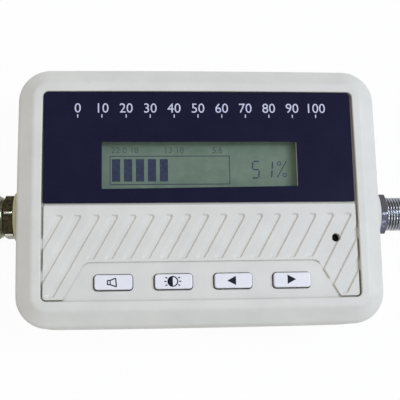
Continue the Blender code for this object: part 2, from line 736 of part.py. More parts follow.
def pilot_cutters():
    """Blind holes that the screws run into."""
    mesh_data = bmesh.new()
    radius = CASE_SCREW_RADIUS + SCREW_FIT
    end = case_screw_tip_height() + PILOT_SPARE
    for centre in corner_places(POST_X, POST_Y):
        add_upright(mesh_data, centre, [(radius, POST_JOINT_HEIGHT - OVERRUN), (radius, end)], SMALL_SIDES)
    radius = BOARD_SCREW_RADIUS + SCREW_FIT
    end = board_screw_tip_height() + PILOT_SPARE
    for centre in corner_places(BOARD_POST_X, BOARD_POST_Y):
        add_upright(mesh_data, centre, [(radius, BOARD_LOWER), (radius, end)], SMALL_SIDES)
    return mesh_data


def build_front_case(material):
    shell = make_piece("front_case", case_loft(front_outer_profile()), material, smooth=True)
    join(shell, jack_cylinders(BOSS_RADIUS, WALL_INSIDE + LIP_WALL, BOSS_FACE))
    cut(shell, slab(-OVERRUN, JOINT_HEIGHT + SHELL_GAP / 2))
    cut(shell, case_loft(front_cavity_profile()))
    join(shell, raised_land())
    join(shell, label_seat())
    join(shell, front_posts())
    cut(shell, stripe_cutters())
    cut(shell, face_cutters())
    cut(shell, jack_cylinders(BARREL_RADIUS + BARREL_FIT, FLANGE_INNER, BARREL_END))
    cut(shell, pilot_cutters())


def rear_outer_profile():
    corners = [
        (REAR_EDGE_WIDTH, 0, 0),
        (0, REAR_EDGE_DEPTH, REAR_EDGE_BLEND),
        (0, JOINT_HEIGHT + OVERRUN, 0),
    ]
    return rounded_path(corners, closed=False)


def rear_lip_profile():
    inset = WALL - LIP_WALL
    return [(inset, JOINT_HEIGHT - OVERRUN), (inset, JOINT_HEIGHT + LIP_HEIGHT)]


def rear_cavity_profile():
    return [
        (WALL + FLOOR_SLOPE, FLOOR_THICKNESS),
        (WALL, FLOOR_THICKNESS + FLOOR_SLOPE),
        (WALL, JOINT_HEIGHT + 2 * OVERRUN),
    ]


def build_rear_case(material):
    shell = make_piece("rear_case", case_loft(rear_outer_profile()), material, smooth=True)
    join(shell, jack_cylinders(BOSS_RADIUS, WALL_INSIDE + LIP_WALL, BOSS_FACE))
    cut(shell, slab(JOINT_HEIGHT - SHELL_GAP / 2, CASE_HEIGHT))
    join(shell, case_loft(rear_lip_profile()))
    cut(shell, case_loft(rear_cavity_profile()))
    places = corner_places(POST_X, POST_Y)
    root = FLOOR_THICKNESS / 2
    join(shell, uprights(places, [(COLUMN_RADIUS, root), (COLUMN_RADIUS, POST_JOINT_HEIGHT - SEAT_GAP)]))
    bore = CASE_HEAD_RADIUS + COUNTERBORE_FIT
    hole = CASE_SCREW_RADIUS + SCREW_FIT
    stations = [
        (bore, -OVERRUN),
        (bore, COUNTERBORE_DEPTH),
        (hole, COUNTERBORE_DEPTH),
        (hole, POST_JOINT_HEIGHT + OVERRUN),
    ]
    cut(shell, uprights(places, stations))
    cut(shell, jack_cylinders(BARREL_RADIUS + BARREL_FIT, FLANGE_INNER, BARREL_END))


def build_screw(name, centre, seat, sizes, material):
    """A pan-head screw with its head under a seat and its shank running up. Its head has a cross drive."""
    head_radius, head_height, shank_radius, length, drive_length, drive_width, drive_depth = sizes
    bottom = seat - head_height
    stations = [
        (head_radius - drive_width / 2, bottom),
        (head_radius, bottom + drive_width),
        (head_radius, seat),
        (shank_radius, seat),
        (shank_radius, seat + length - SCREW_TIP),
        (shank_radius / 2, seat + length),
    ]
    mesh_data = bmesh.new()
    add_upright(mesh_data, centre, stations, SMALL_SIDES)
    screw = make_piece(name, mesh_data, material, (*centre, seat), smooth=True)
    for half_x, half_y in ((drive_length / 2, drive_width / 2), (drive_width / 2, drive_length / 2)):
        cut(screw, plate(centre, half_x, half_y, bottom - OVERRUN, bottom + drive_depth))


def build_screws(material):
    case_sizes = (CASE_HEAD_RADIUS, CASE_HEAD_HEIGHT, CASE_SCREW_RADIUS, CASE_SCREW_LENGTH,
                  DRIVE_LENGTH, DRIVE_WIDTH, DRIVE_DEPTH)
    for number, centre in enumerate(corner_places(POST_X, POST_Y), 1):
        build_screw(f"case_screw_{number}", centre, COUNTERBORE_DEPTH - SEAT_GAP, case_sizes, material)
    board_sizes = (BOARD_HEAD_RADIUS, BOARD_HEAD_HEIGHT, BOARD_SCREW_RADIUS, BOARD_SCREW_LENGTH,
                   SMALL_DRIVE_LENGTH, SMALL_DRIVE_WIDTH, SMALL_DRIVE_DEPTH)
    for number, centre in enumerate(corner_places(BOARD_POST_X, BOARD_POST_Y), 1):
        build_screw(f"board_screw_{number}", centre, BOARD_LOWER - SEAT_GAP, board_sizes, material)


def build_label(material):
    left = LABEL_SHIFT - LABEL_HALF_LENGTH
    right = LABEL_SHIFT + LABEL_HALF_LENGTH
    corners = [
        (left, LABEL_LOWER_Y, LABEL_LOWER_RADIUS),
        (right, LABEL_LOWER_Y, LABEL_LOWER_RADIUS),
        (right, LABEL_UPPER_Y, LABEL_UPPER_RADIUS),
        (left, LABEL_UPPER_Y, LABEL_UPPER_RADIUS),
    ]
    mesh_data = bmesh.new()
    add_prism(mesh_data, rounded_path(corners), LABEL_UNDER, LABEL_UNDER + LABEL_THICKNESS)
    label = make_piece("front_label", mesh_data, material)
    left, right, lower, upper = window_corners()
    corners = [
        (left, lower, WINDOW_RADIUS),
        (right, lower + WINDOW_TAPER, WINDOW_RADIUS),
        (right, upper, WINDOW_RADIUS),
        (left, upper, WINDOW_RADIUS),
    ]
    window = bmesh.new()
    add_prism(window, rounded_path(corners), LABEL_UNDER - OVERRUN, LABEL_UNDER + OVERRUN)
    cut(label, window)


def build_key(name, centre, material):
    """A key cap with a flange that keeps it under the face and a stem that reaches its switch."""
    stem = rounded_rectangle(centre, KEY_STEM / 2, KEY_STEM / 2, KEY_TOP_EDGE)
    flange = rounded_rectangle(centre, KEY_LENGTH / 2 + KEY_FLANGE, KEY_WIDTH / 2 + KEY_FLANGE, KEY_RADIUS)
    cap = rounded_rectangle(centre, KEY_LENGTH / 2, KEY_WIDTH / 2, KEY_RADIUS)
    crown = rounded_rectangle(centre, KEY_LENGTH / 2 - KEY_TOP_EDGE, KEY_WIDTH / 2 - KEY_TOP_EDGE,
                              KEY_RADIUS - KEY_TOP_EDGE)
    flange_top = FACE_UNDER - SEAT_GAP
    flange_bottom = flange_top - KEY_FLANGE_THICKNESS
    rings = [
        at_height(stem, PLUNGER_TOP + STACK_GAP),
        at_height(stem, flange_bottom),
        at_height(flange, flange_bottom),
        at_height(flange, flange_top),
        at_height(cap, flange_top),
        at_height(cap, KEY_HEIGHT - KEY_TOP_EDGE),
        at_height(crown, KEY_HEIGHT),
    ]
    mesh_data = bmesh.new()
    add_loft(mesh_data, rings)
    make_piece(f"{name}_key", mesh_data, material, (*centre, KEY_HEIGHT))


def build_switch(name, centre, housing_material, plunger_material):
    """A tactile switch: a square housing with a round well, and the plunger that the key pushes into it."""
    half = SWITCH_SIZE / 2
    inner = rounded_rectangle(centre, half - SWITCH_EDGE, half - SWITCH_EDGE, SWITCH_EDGE)
    outer = rounded_rectangle(centre, half, half, SWITCH_EDGE)
    mesh_data = bmesh.new()
    rings = [
        at_height(outer, PARTS_LEVEL),
        at_height(outer, SWITCH_TOP - SWITCH_EDGE),
        at_height(inner, SWITCH_TOP),
    ]
    add_loft(mesh_data, rings)
    housing = make_piece(f"{name}_switch", mesh_data, housing_material, (*centre, PARTS_LEVEL))
    well_radius = PLUNGER_RADIUS + PLUNGER_FIT
    stations = [(well_radius, WELL_BOTTOM), (well_radius, SWITCH_TOP + OVERRUN)]
    cut(housing, uprights([centre], stations))
    foot = WELL_BOTTOM + KEY_TRAVEL + WELL_SPARE
    stations = [
        (PLUNGER_RADIUS, foot),
        (PLUNGER_RADIUS, PLUNGER_TOP - SWITCH_EDGE / 2),
        (PLUNGER_RADIUS - SWITCH_EDGE / 2, PLUNGER_TOP),
    ]
    plunger = uprights([centre], stations)
    make_piece(f"{name}_plunger", plunger, plunger_material, (*centre, foot), smooth=True)


def build_display(film, reflector, glass, guide, lamp, rubber):
    """The display's layers: glass between two polarisers, a lit guide behind it, and its contact strip."""
    middle = (WINDOW_SHIFT, WINDOW_Y)
    half_length = GLASS_HALF_LENGTH - POLARISER_INSET
    half_width = GLASS_HALF_WIDTH - POLARISER_INSET
    low = FRONT_POLARISER_TOP - POLARISER_THICKNESS
    sheet = plate(middle, half_length, half_width, low, FRONT_POLARISER_TOP)
    make_piece("lcd_front_polariser", sheet, film)
    sheet = plate(middle, GLASS_HALF_LENGTH, GLASS_HALF_WIDTH, GLASS_BOTTOM, GLASS_TOP)
    make_piece("lcd_glass", sheet, glass)
    guide_y = (GUIDE_UPPER_Y + GUIDE_LOWER_Y) / 2
    half_width = (GUIDE_UPPER_Y - GUIDE_LOWER_Y) / 2
    low = REAR_POLARISER_TOP - POLARISER_THICKNESS
    sheet = plate((WINDOW_SHIFT, guide_y), half_length, half_width, low, REAR_POLARISER_TOP)
    make_piece("lcd_rear_polariser", sheet, reflector)
    guide_end = GUIDE_RIGHT_X - LAMP_BAY
    block = box_between((GUIDE_LEFT_X, GUIDE_LOWER_Y, GUIDE_BOTTOM), (guide_end, GUIDE_UPPER_Y, GUIDE_TOP))
    make_piece("lcd_light_guide", block, guide)
    place = (guide_end + STACK_GAP + LAMP_THICKNESS / 2, guide_y)
    block = plate(place, LAMP_THICKNESS / 2, LAMP_WIDTH / 2, GUIDE_BOTTOM, GUIDE_BOTTOM + LAMP_HEIGHT)
    make_piece("lcd_light_lamp", block, lamp)
    place = (WINDOW_SHIFT, (STRIP_LOWER_Y + STRIP_UPPER_Y) / 2)
    block = plate(place, STRIP_HALF_LENGTH, STRIP_WIDTH / 2, PARTS_LEVEL, GLASS_BOTTOM - STACK_GAP)
    make_piece("lcd_contact_strip", block, rubber)


def build_holder(material):
    """The frame round the display: a pocket for the glass, one for the guide and a slot for the strip."""
    middle = (WINDOW_SHIFT, WINDOW_Y)
    half_length = GLASS_HALF_LENGTH + HOLDER_FIT
    half_width = GLASS_HALF_WIDTH + HOLDER_FIT
    top = FACE_UNDER - SEAT_GAP
    body = plate(middle, HOLDER_HALF_LENGTH, HOLDER_HALF_WIDTH, PARTS_LEVEL, top)
    frame = make_piece("lcd_holder", body, material)
    cut(frame, plate(middle, half_length, half_width, GLASS_BOTTOM - STACK_GAP, top + OVERRUN))
    low = (GUIDE_LEFT_X - HOLDER_FIT, GUIDE_LOWER_Y - HOLDER_FIT, GUIDE_BOTTOM - STACK_GAP)
    high = (GUIDE_RIGHT_X + HOLDER_FIT, GUIDE_UPPER_Y + HOLDER_FIT, top)
    cut(frame, box_between(low, high))
    low = (GUIDE_LEFT_X + HOLDER_LEDGE, GUIDE_LOWER_Y + HOLDER_LEDGE, PARTS_LEVEL - OVERRUN)
    high = (GUIDE_RIGHT_X - HOLDER_LEDGE, GUIDE_UPPER_Y - HOLDER_LEDGE, GUIDE_BOTTOM + STACK_GAP)
    cut(frame, box_between(low, high))
    place = (WINDOW_SHIFT, (STRIP_LOWER_Y + STRIP_UPPER_Y) / 2)
    half_length = STRIP_HALF_LENGTH + STRIP_FIT
    half_width = STRIP_WIDTH / 2 + STRIP_FIT
    cut(frame, plate(place, half_length, half_width, PARTS_LEVEL - OVERRUN, GLASS_BOTTOM))


def build_board(material):
    mesh_data = bmesh.new()
    outline = rounded_rectangle((0, 0), BOARD_HALF_LENGTH, BOARD_HALF_WIDTH, BOARD_CORNER)
    add_prism(mesh_data, outline, BOARD_LOWER, BOARD_UPPER)
    board = make_piece("main_board", mesh_data, material)
    radius = BOARD_SCREW_RADIUS + SCREW_FIT
    places = corner_places(BOARD_POST_X, BOARD_POST_Y)
    cut(board, uprights(places, [(radius, BOARD_LOWER - OVERRUN), (radius, BOARD_UPPER + OVERRUN)]))


def lower_bay():
    """The board's free space between the switches, the display's holder and the sounder."""
    left = -BOARD_HALF_LENGTH + PART_CLEARANCE
    right = BOARD_HALF_LENGTH - SOUNDER_EDGE_GAP - 2 * SOUNDER_RADIUS - PART_CLEARANCE
    lower = KEY_Y + SWITCH_SIZE / 2 + PART_CLEARANCE
    upper = WINDOW_Y - HOLDER_HALF_WIDTH - PART_CLEARANCE
    return left, right, lower, upper


def upper_bay():
    """The board's free space above the display's holder, between the board's screws."""
    right = BOARD_POST_X - BOARD_POST_RADIUS - PART_CLEARANCE
    lower = WINDOW_Y + HOLDER_HALF_WIDTH + PART_CLEARANCE
    upper = BOARD_HALF_WIDTH - PART_CLEARANCE
    return -right, right, lower, upper


def in_bay(bay, share_x, share_y):
    left, right, lower, upper = bay
    return left + (right - left) * share_x, lower + (upper - lower) * share_y


def build_component(name, bay, shares, height, material):
    """A block with slightly drawn-in upper edges, standing on the board."""
    left, right, lower, upper = bay
    centre = in_bay(bay, shares[0], shares[1])
    half_length = (right - left) * shares[2] / 2
    half_width = (upper - lower) * shares[3] / 2
    body = rounded_rectangle(centre, half_length, half_width, COMPONENT_EDGE)
    crown = rounded_rectangle(centre, half_length - COMPONENT_EDGE / 2, half_width - COMPONENT_EDGE / 2,
                              COMPONENT_EDGE / 2)
    rings = [
        at_height(body, PARTS_LEVEL),
        at_height(body, PARTS_LEVEL + height - COMPONENT_EDGE / 2),
        at_height(crown, PARTS_LEVEL + height),
    ]
    mesh_data = bmesh.new()
    add_loft(mesh_data, rings)
    make_piece(name, mesh_data, material, (*centre, PARTS_LEVEL))


def build_capacitor(name, bay, shares, material):
    centre = in_bay(bay, shares[0], shares[1])
    radius = (bay[3] - bay[2]) * shares[2]
    height = PARTS_ROOM * shares[3]
    stations = [
        (radius, PARTS_LEVEL),
        (radius, PARTS_LEVEL + height - COMPONENT_EDGE),
        (radius - COMPONENT_EDGE, PARTS_LEVEL + height),
    ]
    make_piece(name, uprights([centre], stations), material, (*centre, PARTS_LEVEL), smooth=True)


def build_sounder(material):
    """The round sounder under the sound hole, with its port in the middle of its top."""
    centre = (BOARD_HALF_LENGTH - SOUNDER_RADIUS - SOUNDER_EDGE_GAP, SOUND_HOLE_Y)
    top = FACE_UNDER - SOUNDER_TOP_GAP
    stations = [
        (SOUNDER_RADIUS, PARTS_LEVEL),
        (SOUNDER_RADIUS, top - COMPONENT_EDGE),
        (SOUNDER_RADIUS - COMPONENT_EDGE, top),
        (SOUNDER_PORT_RADIUS, top),
        (SOUNDER_PORT_RADIUS, top - SOUNDER_PORT_DEPTH),
    ]
    mesh_data = bmesh.new()
    add_upright(mesh_data, centre, stations, TURNED_SIDES)
    make_piece("sounder", mesh_data, material, (*centre, PARTS_LEVEL), smooth=True)


def turned_piece(name, side, stations, material, closed=True, distance=BOSS_FACE, sides=TURNED_SIDES):
    """A piece turned about a connector's axis, with its origin on that axis."""
    mesh_data = bmesh.new()
    add_turned(mesh_data, side, stations, closed, sides)
    return make_piece(name, mesh_data, material, (side * distance, JACK_Y, JOINT_HEIGHT), smooth=True)


def hexagon_ring(side, distance, cone, turn):
    """A hexagon round a connector's axis, with its corners cut back to a cone's radius."""
    ring = []
    for step in range(HEXAGON_SIDES):
        angle = 2 * math.pi * step / HEXAGON_SIDES
        from_flat = (angle + math.pi / 6) % (math.pi / 3) - math.pi / 6
        radius = min(NUT_ACROSS_FLATS / 2 / math.cos(from_flat), cone)
        across = radius * math.cos(angle + turn + math.pi / 6)
        up = radius * math.sin(angle + turn + math.pi / 6)
        ring.append((side * distance, JACK_Y + across, JOINT_HEIGHT + up))
    return ring


def hexagon_piece(name, side, stations, turn, material, distance):
    """A hexagonal piece along (distance, cone radius) stations, with a round bore."""
    mesh_data = bmesh.new()
    rings = [hexagon_ring(side, here, cone, turn) for here, cone in stations]
    add_loft(mesh_data, rings, closed=True)
    make_piece(name, mesh_data, material, (side * distance, JACK_Y, JOINT_HEIGHT))


def build_nut(name, side, turn, material):
    """A thin hexagonal nut, chamfered on its outer face and screwed up against the case's boss."""
    flat = NUT_ACROSS_FLATS / 2
    corner = flat / math.cos(math.pi / 6)
    bore = BARREL_RADIUS + THREAD_FIT
    stations = [
        (NUT_INNER, bore),
        (NUT_INNER, corner),
        (NUT_OUTER - NUT_CHAMFER, corner),
        (NUT_OUTER, flat),
        (NUT_OUTER, bore),
    ]
    hexagon_piece(name, side, stations, turn, material, NUT_INNER)


def build_coupling_nut(material):
    """The plug's free nut: a hexagonal sleeve whose inner lip is kept behind the plug's flange."""
    flat = NUT_ACROSS_FLATS / 2
    corner = flat / math.cos(math.pi / 6)
    stations = [(COUPLING_INNER, NECK_RADIUS + NECK_FIT)]
    for cone in (COUPLING_FACE_RADIUS, flat, (flat + corner) / 2, corner):
        share = (cone - COUPLING_FACE_RADIUS) / (corner - COUPLING_FACE_RADIUS)
        stations.append((COUPLING_INNER + COUPLING_CHAMFER * share, cone))
    stations += [
        (BARREL_END - COUPLING_END_CHAMFER, corner),
        (BARREL_END, flat),
        (BARREL_END, COUPLING_BORE_RADIUS + BARREL_CHAMFER / 2),
        (BARREL_END - BARREL_CHAMFER, COUPLING_BORE_RADIUS),
        (COUPLING_LIP_FACE, COUPLING_BORE_RADIUS),
        (COUPLING_LIP_FACE, NECK_RADIUS + NECK_FIT),
    ]
    hexagon_piece("left_coupling_nut", -1, stations, COUPLING_TURN, material, COUPLING_INNER)


def build_washer(name, side, material):
    bore = BARREL_RADIUS + BARREL_FIT
    stations = [
        (WASHER_INNER, bore),
        (WASHER_INNER, WASHER_RADIUS),
        (WASHER_OUTER, WASHER_RADIUS),
        (WASHER_OUTER, bore),
    ]
    turned_piece(name, side, stations, material, distance=WASHER_INNER)


def shell_inner_stations(bore):
    """The part of a connector's shell inside the case, up to its threaded barrel."""
    return [
        (TAIL_INNER, bore),
        (TAIL_INNER, TAIL_RADIUS),
        (FLANGE_INNER, TAIL_RADIUS),
        (FLANGE_INNER, FLANGE_RADIUS),
        (FLANGE_OUTER, FLANGE_RADIUS),
        (FLANGE_OUTER, BARREL_RADIUS),
    ]


def build_right_jack(metal, bright, plastic, gold):
    """The female F connector: threaded shell, insulator and spring contact."""
    stations = shell_inner_stations(JACK_BORE_RADIUS) + [
        (BARREL_END - BARREL_CHAMFER, BARREL_RADIUS),
        (BARREL_END, BARREL_RADIUS - BARREL_CHAMFER),
        (BARREL_END, JACK_BORE_RADIUS),
    ]
    turned_piece("right_jack_shell", 1, stations, metal)
    outer = JACK_BORE_RADIUS - INSULATOR_FIT
    inner = CONTACT_RADIUS + CONTACT_FIT
    face = BARREL_END - INSULATOR_INSET
    stations = [(TAIL_INNER, inner), (TAIL_INNER, outer), (face, outer), (face, inner)]
    turned_piece("right_jack_insulator", 1, stations, plastic, sides=SMALL_SIDES)
    stations = [(CONTACT_INNER, CONTACT_RADIUS), (BARREL_END - CONTACT_INSET, CONTACT_RADIUS)]
    turned_piece("right_jack_contact", 1, stations, gold, closed=False, sides=SMALL_SIDES)
    build_washer("right_lock_washer", 1, bright)
    build_nut("right_panel_nut", 1, RIGHT_NUT_TURN, bright)


def build_left_plug(metal, bright, plastic, gold):
    """The male F connector: a shell with a neck and flange for its free nut, insulator and pin."""
    stations = shell_inner_stations(PLUG_BORE_RADIUS) + [
        (NUT_OUTER, BARREL_RADIUS),
        (NUT_OUTER, NECK_RADIUS),
        (PLUG_FLANGE_INNER, NECK_RADIUS),
        (PLUG_FLANGE_INNER, PLUG_FLANGE_RADIUS),
        (PLUG_FLANGE_OUTER, PLUG_FLANGE_RADIUS),
        (PLUG_FLANGE_OUTER, PLUG_BORE_RADIUS),
    ]
    turned_piece("left_plug_shell", -1, stations, metal)
    outer = PLUG_BORE_RADIUS - INSULATOR_FIT
    inner = CONTACT_RADIUS + CONTACT_FIT
    face = PLUG_FLANGE_OUTER
    stations = [(TAIL_INNER, inner), (TAIL_INNER, outer), (face, outer), (face, inner)]
    turned_piece("left_plug_insulator", -1, stations, plastic, sides=SMALL_SIDES)
    stations = [
        (CONTACT_INNER, CONTACT_RADIUS),
        (BARREL_END - PIN_INSET - CONTACT_RADIUS, CONTACT_RADIUS),
        (BARREL_END - PIN_INSET, CONTACT_RADIUS / 2),
    ]
    turned_piece("left_plug_pin", -1, stations, gold, closed=False, sides=SMALL_SIDES)
    build_washer("left_lock_washer", -1, bright)
    build_nut("left_panel_nut", -1, LEFT_NUT_TURN, metal)
    build_coupling_nut(metal)


def build_case():
    build_front_case(finish("ivory_plastic", (0.70, 0.68, 0.64), 0.5))
    build_rear_case(finish("rear_plastic", (0.68, 0.66, 0.62), 0.55))
    build_screws(finish("screw_steel", (0.45, 0.45, 0.46), 0.35, 1.0))
    build_label(finish("navy_print", (0.013, 0.013, 0.037), 0.35))
    key_material = finish("key_white", (0.82, 0.82, 0.88), 0.35)
    housing_material = finish("switch_black", (0.03, 0.03, 0.03), 0.5)
    plunger_material = finish("plunger_grey", (0.35, 0.35, 0.35), 0.5)
    for name, centre in zip(KEY_NAMES, key_places()):
        build_key(name, centre, key_material)
        build_switch(name, centre, housing_material, plunger_material)


def build_electronics():
    build_display(
        finish("display_film", (0.13, 0.20, 0.15), 0.3),
        finish("reflector_film", (0.55, 0.60, 0.55), 0.3),
        finish("display_glass", (0.60, 0.68, 0.62), 0.08),
        finish("guide_acrylic", (0.80, 0.82, 0.80), 0.2),
        finish("lamp_resin", (0.85, 0.83, 0.60), 0.3),
        finish("contact_rubber", (0.55, 0.45, 0.42), 0.7),
    )
    build_holder(finish("holder_plastic", (0.72, 0.71, 0.68), 0.5))
    build_board(finish("board_green", (0.02, 0.16, 0.07), 0.4))
    tin = finish("tin_plate", (0.60, 0.60, 0.60), 0.3, 1.0)
    epoxy = finish("chip_epoxy", (0.02, 0.02, 0.02), 0.5)
    ferrite = finish("ferrite", (0.07, 0.07, 0.075), 0.6)
    crystal_can = finish("crystal_can", (0.65, 0.65, 0.66), 0.25, 1.0)
    sleeve = finish("capacitor_sleeve", (0.03, 0.04, 0.10), 0.4)
    build_component("tuner_shield", lower_bay(), SHIELD_SHARES, SHIELD_HEIGHT, tin)
    build_component("controller_chip", lower_bay(), CHIP_SHARES, CHIP_HEIGHT, epoxy)
    build_component("voltage_regulator", lower_bay(), REGULATOR_SHARES, REGULATOR_HEIGHT, epoxy)
    build_component("power_inductor", lower_bay(), INDUCTOR_SHARES, INDUCTOR_HEIGHT, ferrite)
    build_component("timing_crystal", upper_bay(), CRYSTAL_SHARES, CRYSTAL_HEIGHT, crystal_can)
    build_capacitor("board_capacitor_1", lower_bay(), SMALL_CAPACITOR_SHARES, sleeve)
    build_capacitor("board_capacitor_2", upper_bay(), LARGE_CAPACITOR_SHARES, sleeve)
    build_sounder(finish("sounder_black", (0.02, 0.02, 0.02), 0.5))


def build_connectors():
    nickel = finish("nickel_plate", (0.62, 0.61, 0.58), 0.25, 1.0)
    bright_nickel = finish("bright_nickel", (0.66, 0.66, 0.67), 0.25, 1.0)
    dark_nickel = finish("dark_nickel", (0.33, 0.32, 0.30), 0.25, 1.0)
    insulator = finish("insulator_white", (0.80, 0.80, 0.78), 0.4)
    gold = finish("contact_gold", (0.78, 0.56, 0.23), 0.25, 1.0)
    build_right_jack(nickel, bright_nickel, insulator, gold)
    build_left_plug(dark_nickel, bright_nickel, insulator, gold)


clear_scene()
meter = bpy.data.objects.new("meter", None)
bpy.context.scene.collection.objects.link(meter)
build_case()
build_electronics()
build_connectors()
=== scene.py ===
"""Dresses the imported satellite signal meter: fine meshes, materials, soft light and the photo's view."""

from math import asin, atan, atan2, cos, pi, sin, sqrt, tan

import bmesh
import bpy
from mathutils import Matrix, Vector
from mathutils.geometry import tessellate_polygon


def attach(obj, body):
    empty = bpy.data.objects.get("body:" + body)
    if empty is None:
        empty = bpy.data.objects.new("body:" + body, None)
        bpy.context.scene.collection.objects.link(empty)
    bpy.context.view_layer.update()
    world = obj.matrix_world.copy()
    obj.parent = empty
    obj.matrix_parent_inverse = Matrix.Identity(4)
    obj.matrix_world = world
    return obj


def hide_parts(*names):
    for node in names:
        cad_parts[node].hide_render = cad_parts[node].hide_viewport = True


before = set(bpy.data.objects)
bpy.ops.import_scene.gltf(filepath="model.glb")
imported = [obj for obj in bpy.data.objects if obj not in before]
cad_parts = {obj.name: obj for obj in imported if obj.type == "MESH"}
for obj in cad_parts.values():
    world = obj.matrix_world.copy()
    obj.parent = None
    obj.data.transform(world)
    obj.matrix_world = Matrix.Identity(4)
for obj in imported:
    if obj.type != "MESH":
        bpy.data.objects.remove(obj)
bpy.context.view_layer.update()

MM = 0.001
DEG = pi / 180

# Case, in the CAD's own sizes
HALF_LENGTH = 48.7 * MM
HALF_WIDTH = 34.85 * MM
CASE_HEIGHT = 25.0 * MM
JOINT_HEIGHT = 13.0 * MM
SHELL_GAP = 0.3 * MM
CORNER_RADIUS = 8.4 * MM
SIDE_SWELL = 0.25 * MM
WALL = 2.2 * MM
LIP_INSET = 1.2 * MM
LIP_HEIGHT = 1.2 * MM
LIP_FIT = 0.2 * MM
RIM_SLOPE_WIDTH = 4.5 * MM
RIM_SLOPE_DEPTH = 3.0 * MM
RIM_WIDTH = 6.8 * MM
RIM_BLEND = 2.0 * MM
RIM_INNER_BLEND = 0.3 * MM
PARTING_EDGE = 0.15 * MM
RECESS_HALF_LENGTH = HALF_LENGTH - RIM_WIDTH
RECESS_HALF_WIDTH = HALF_WIDTH - RIM_WIDTH
RECESS_RADIUS = 1.4 * MM
RECESS_FOOT = 0.2 * MM
PANEL_HEIGHT = 23.7 * MM
SEAT_HEIGHT = 24.0 * MM
LAND_HEIGHT = 24.3 * MM
FACE_UNDER = 21.7 * MM
CAVITY_SLOPE = 2.7 * MM
REAR_EDGE_WIDTH = 2.0 * MM
REAR_EDGE_DEPTH = 2.6 * MM
FLOOR_THICKNESS = 2.2 * MM
FLOOR_SLOPE = 1.6 * MM

# Land, key panel and grooves
LAND_GAP = 0.55 * MM
LAND_UPPER_Y = -2.85 * MM
LAND_LOWER_Y = -RECESS_HALF_WIDTH + LAND_GAP
LAND_HALF_LENGTH = RECESS_HALF_LENGTH - LAND_GAP
LAND_RADIUS = 0.8 * MM
LAND_END_RADIUS = 0.4 * MM
LAND_EDGE = 0.22 * MM
LAND_FOOT = 0.2 * MM
LAND_SINK = 0.012 * MM
PANEL_UPPER_Y = -17.875 * MM
PANEL_UPPER_HALF = 30.585 * MM
PANEL_SHOULDER_RADIUS = 2.6 * MM
PANEL_SIDE_ANGLE = 59.5 * DEG
STRIPE_PITCH = 4.782 * MM
STRIPE_WIDTH = 2.4 * MM
STRIPE_DEPTH = 0.52 * MM
STRIPE_WALL = 0.42 * MM
STRIPE_SKEW = 0.18 * MM
STRIPE_START = 5.45 * MM
STRIPE_TOP_INSET = 2.55 * MM
STRIPE_MARGIN = 0.6 * MM
STRIPE_OVERRUN = 0.9 * MM
STRIPE_COUNT = 19
STRIPE_CORNER = 0.7 * MM
STRIPE_FOOT_CORNER = 0.35 * MM
STRIPE_EDGE = 0.13 * MM
STRIPE_ANGLE = 60.5 * DEG
SOUND_HOLE = (35.75 * MM, -12.0 * MM)
SOUND_HOLE_RADIUS = 1.15 * MM
SOUND_HOLE_EDGE = 0.12 * MM

# Label and window
LABEL_SHIFT = -0.15 * MM
LABEL_HALF_LENGTH = 41.35 * MM
LABEL_LOWER_Y = -2.4 * MM
LABEL_UPPER_Y = 27.8 * MM
LABEL_UNDER = 24.1 * MM
LABEL_TOP = 24.5 * MM
LABEL_UPPER_RADIUS = 1.3 * MM
LABEL_LOWER_RADIUS = 0.4 * MM
LABEL_EDGE = 0.06 * MM
WINDOW_LEFT = -26.25 * MM
WINDOW_RIGHT = 26.05 * MM
WINDOW_LOWER = 1.35 * MM
WINDOW_UPPER = 14.1 * MM
WINDOW_TAPER = 0.55 * MM
WINDOW_RADIUS = 0.25 * MM
APERTURE_MARGIN = 0.25 * MM
APERTURE_UPPER_MARGIN = 0.6 * MM

# Keys
KEY_NAMES = ("sound", "light", "left", "right")
KEY_HALF_LENGTH = 4.875 * MM
KEY_HALF_WIDTH = 1.925 * MM
KEY_RADIUS = 0.8 * MM
KEY_EDGE = 0.35 * MM
KEY_SLOT_GAP = 0.25 * MM
KEY_SLOT_EDGE = 0.1 * MM
KEY_PLAY_X = 0.09 * MM
KEY_PLAY_Y = 0.07 * MM
KEY_FLANGE_THICKNESS = 1.0 * MM
KEY_STEM_HALF = 1.5 * MM
KEY_STEM_FOOT = 17.5 * MM
KEY_FLANGE = 0.8 * MM
KEY_TOP = 24.7 * MM
KEY_Y = -23.2 * MM
KEY_PITCH = 15.54 * MM

# Bosses and panel nuts. Distances along a connector's axis are from the case's middle.
JACK_Y = -4.25 * MM
BOSS_RADIUS = 6.7 * MM
BOSS_INNER = 47.5 * MM
BOSS_FACE = 49.95 * MM
BOSS_EDGE = 0.35 * MM
BOSS_GAP = 0.17 * MM
BORE_RADIUS = 4.9 * MM
HALF_FLAT_ANGLE = 30 * DEG
NUT_INNER = 50.1 * MM
NUT_OUTER = 52.1 * MM
LEFT_NUT_OUTER = 52.65 * MM
NUT_HALF = 5.5 * MM
NUT_CORNER = NUT_HALF / cos(HALF_FLAT_ANGLE)
NUT_EDGE = 0.45 * MM
NUT_ROUND = 0.8 * MM
NUT_FACE_RADIUS = NUT_HALF - NUT_EDGE / 5
RIGHT_NUT_TURN = 37.0 * DEG
LEFT_NUT_TURN = 27.0 * DEG

# Coupling nut
COUPLING_TURN = 8.0 * DEG
COUPLING_INNER = 52.8 * MM
COUPLING_LIP_FACE = 54.2 * MM
COUPLING_FACE_RADIUS = 5.1 * MM
COUPLING_CHAMFER = 2.2 * MM
COUPLING_END_CHAMFER = 0.9 * MM
COUPLING_BORE = 4.8 * MM
COUPLING_NECK = 3.6 * MM

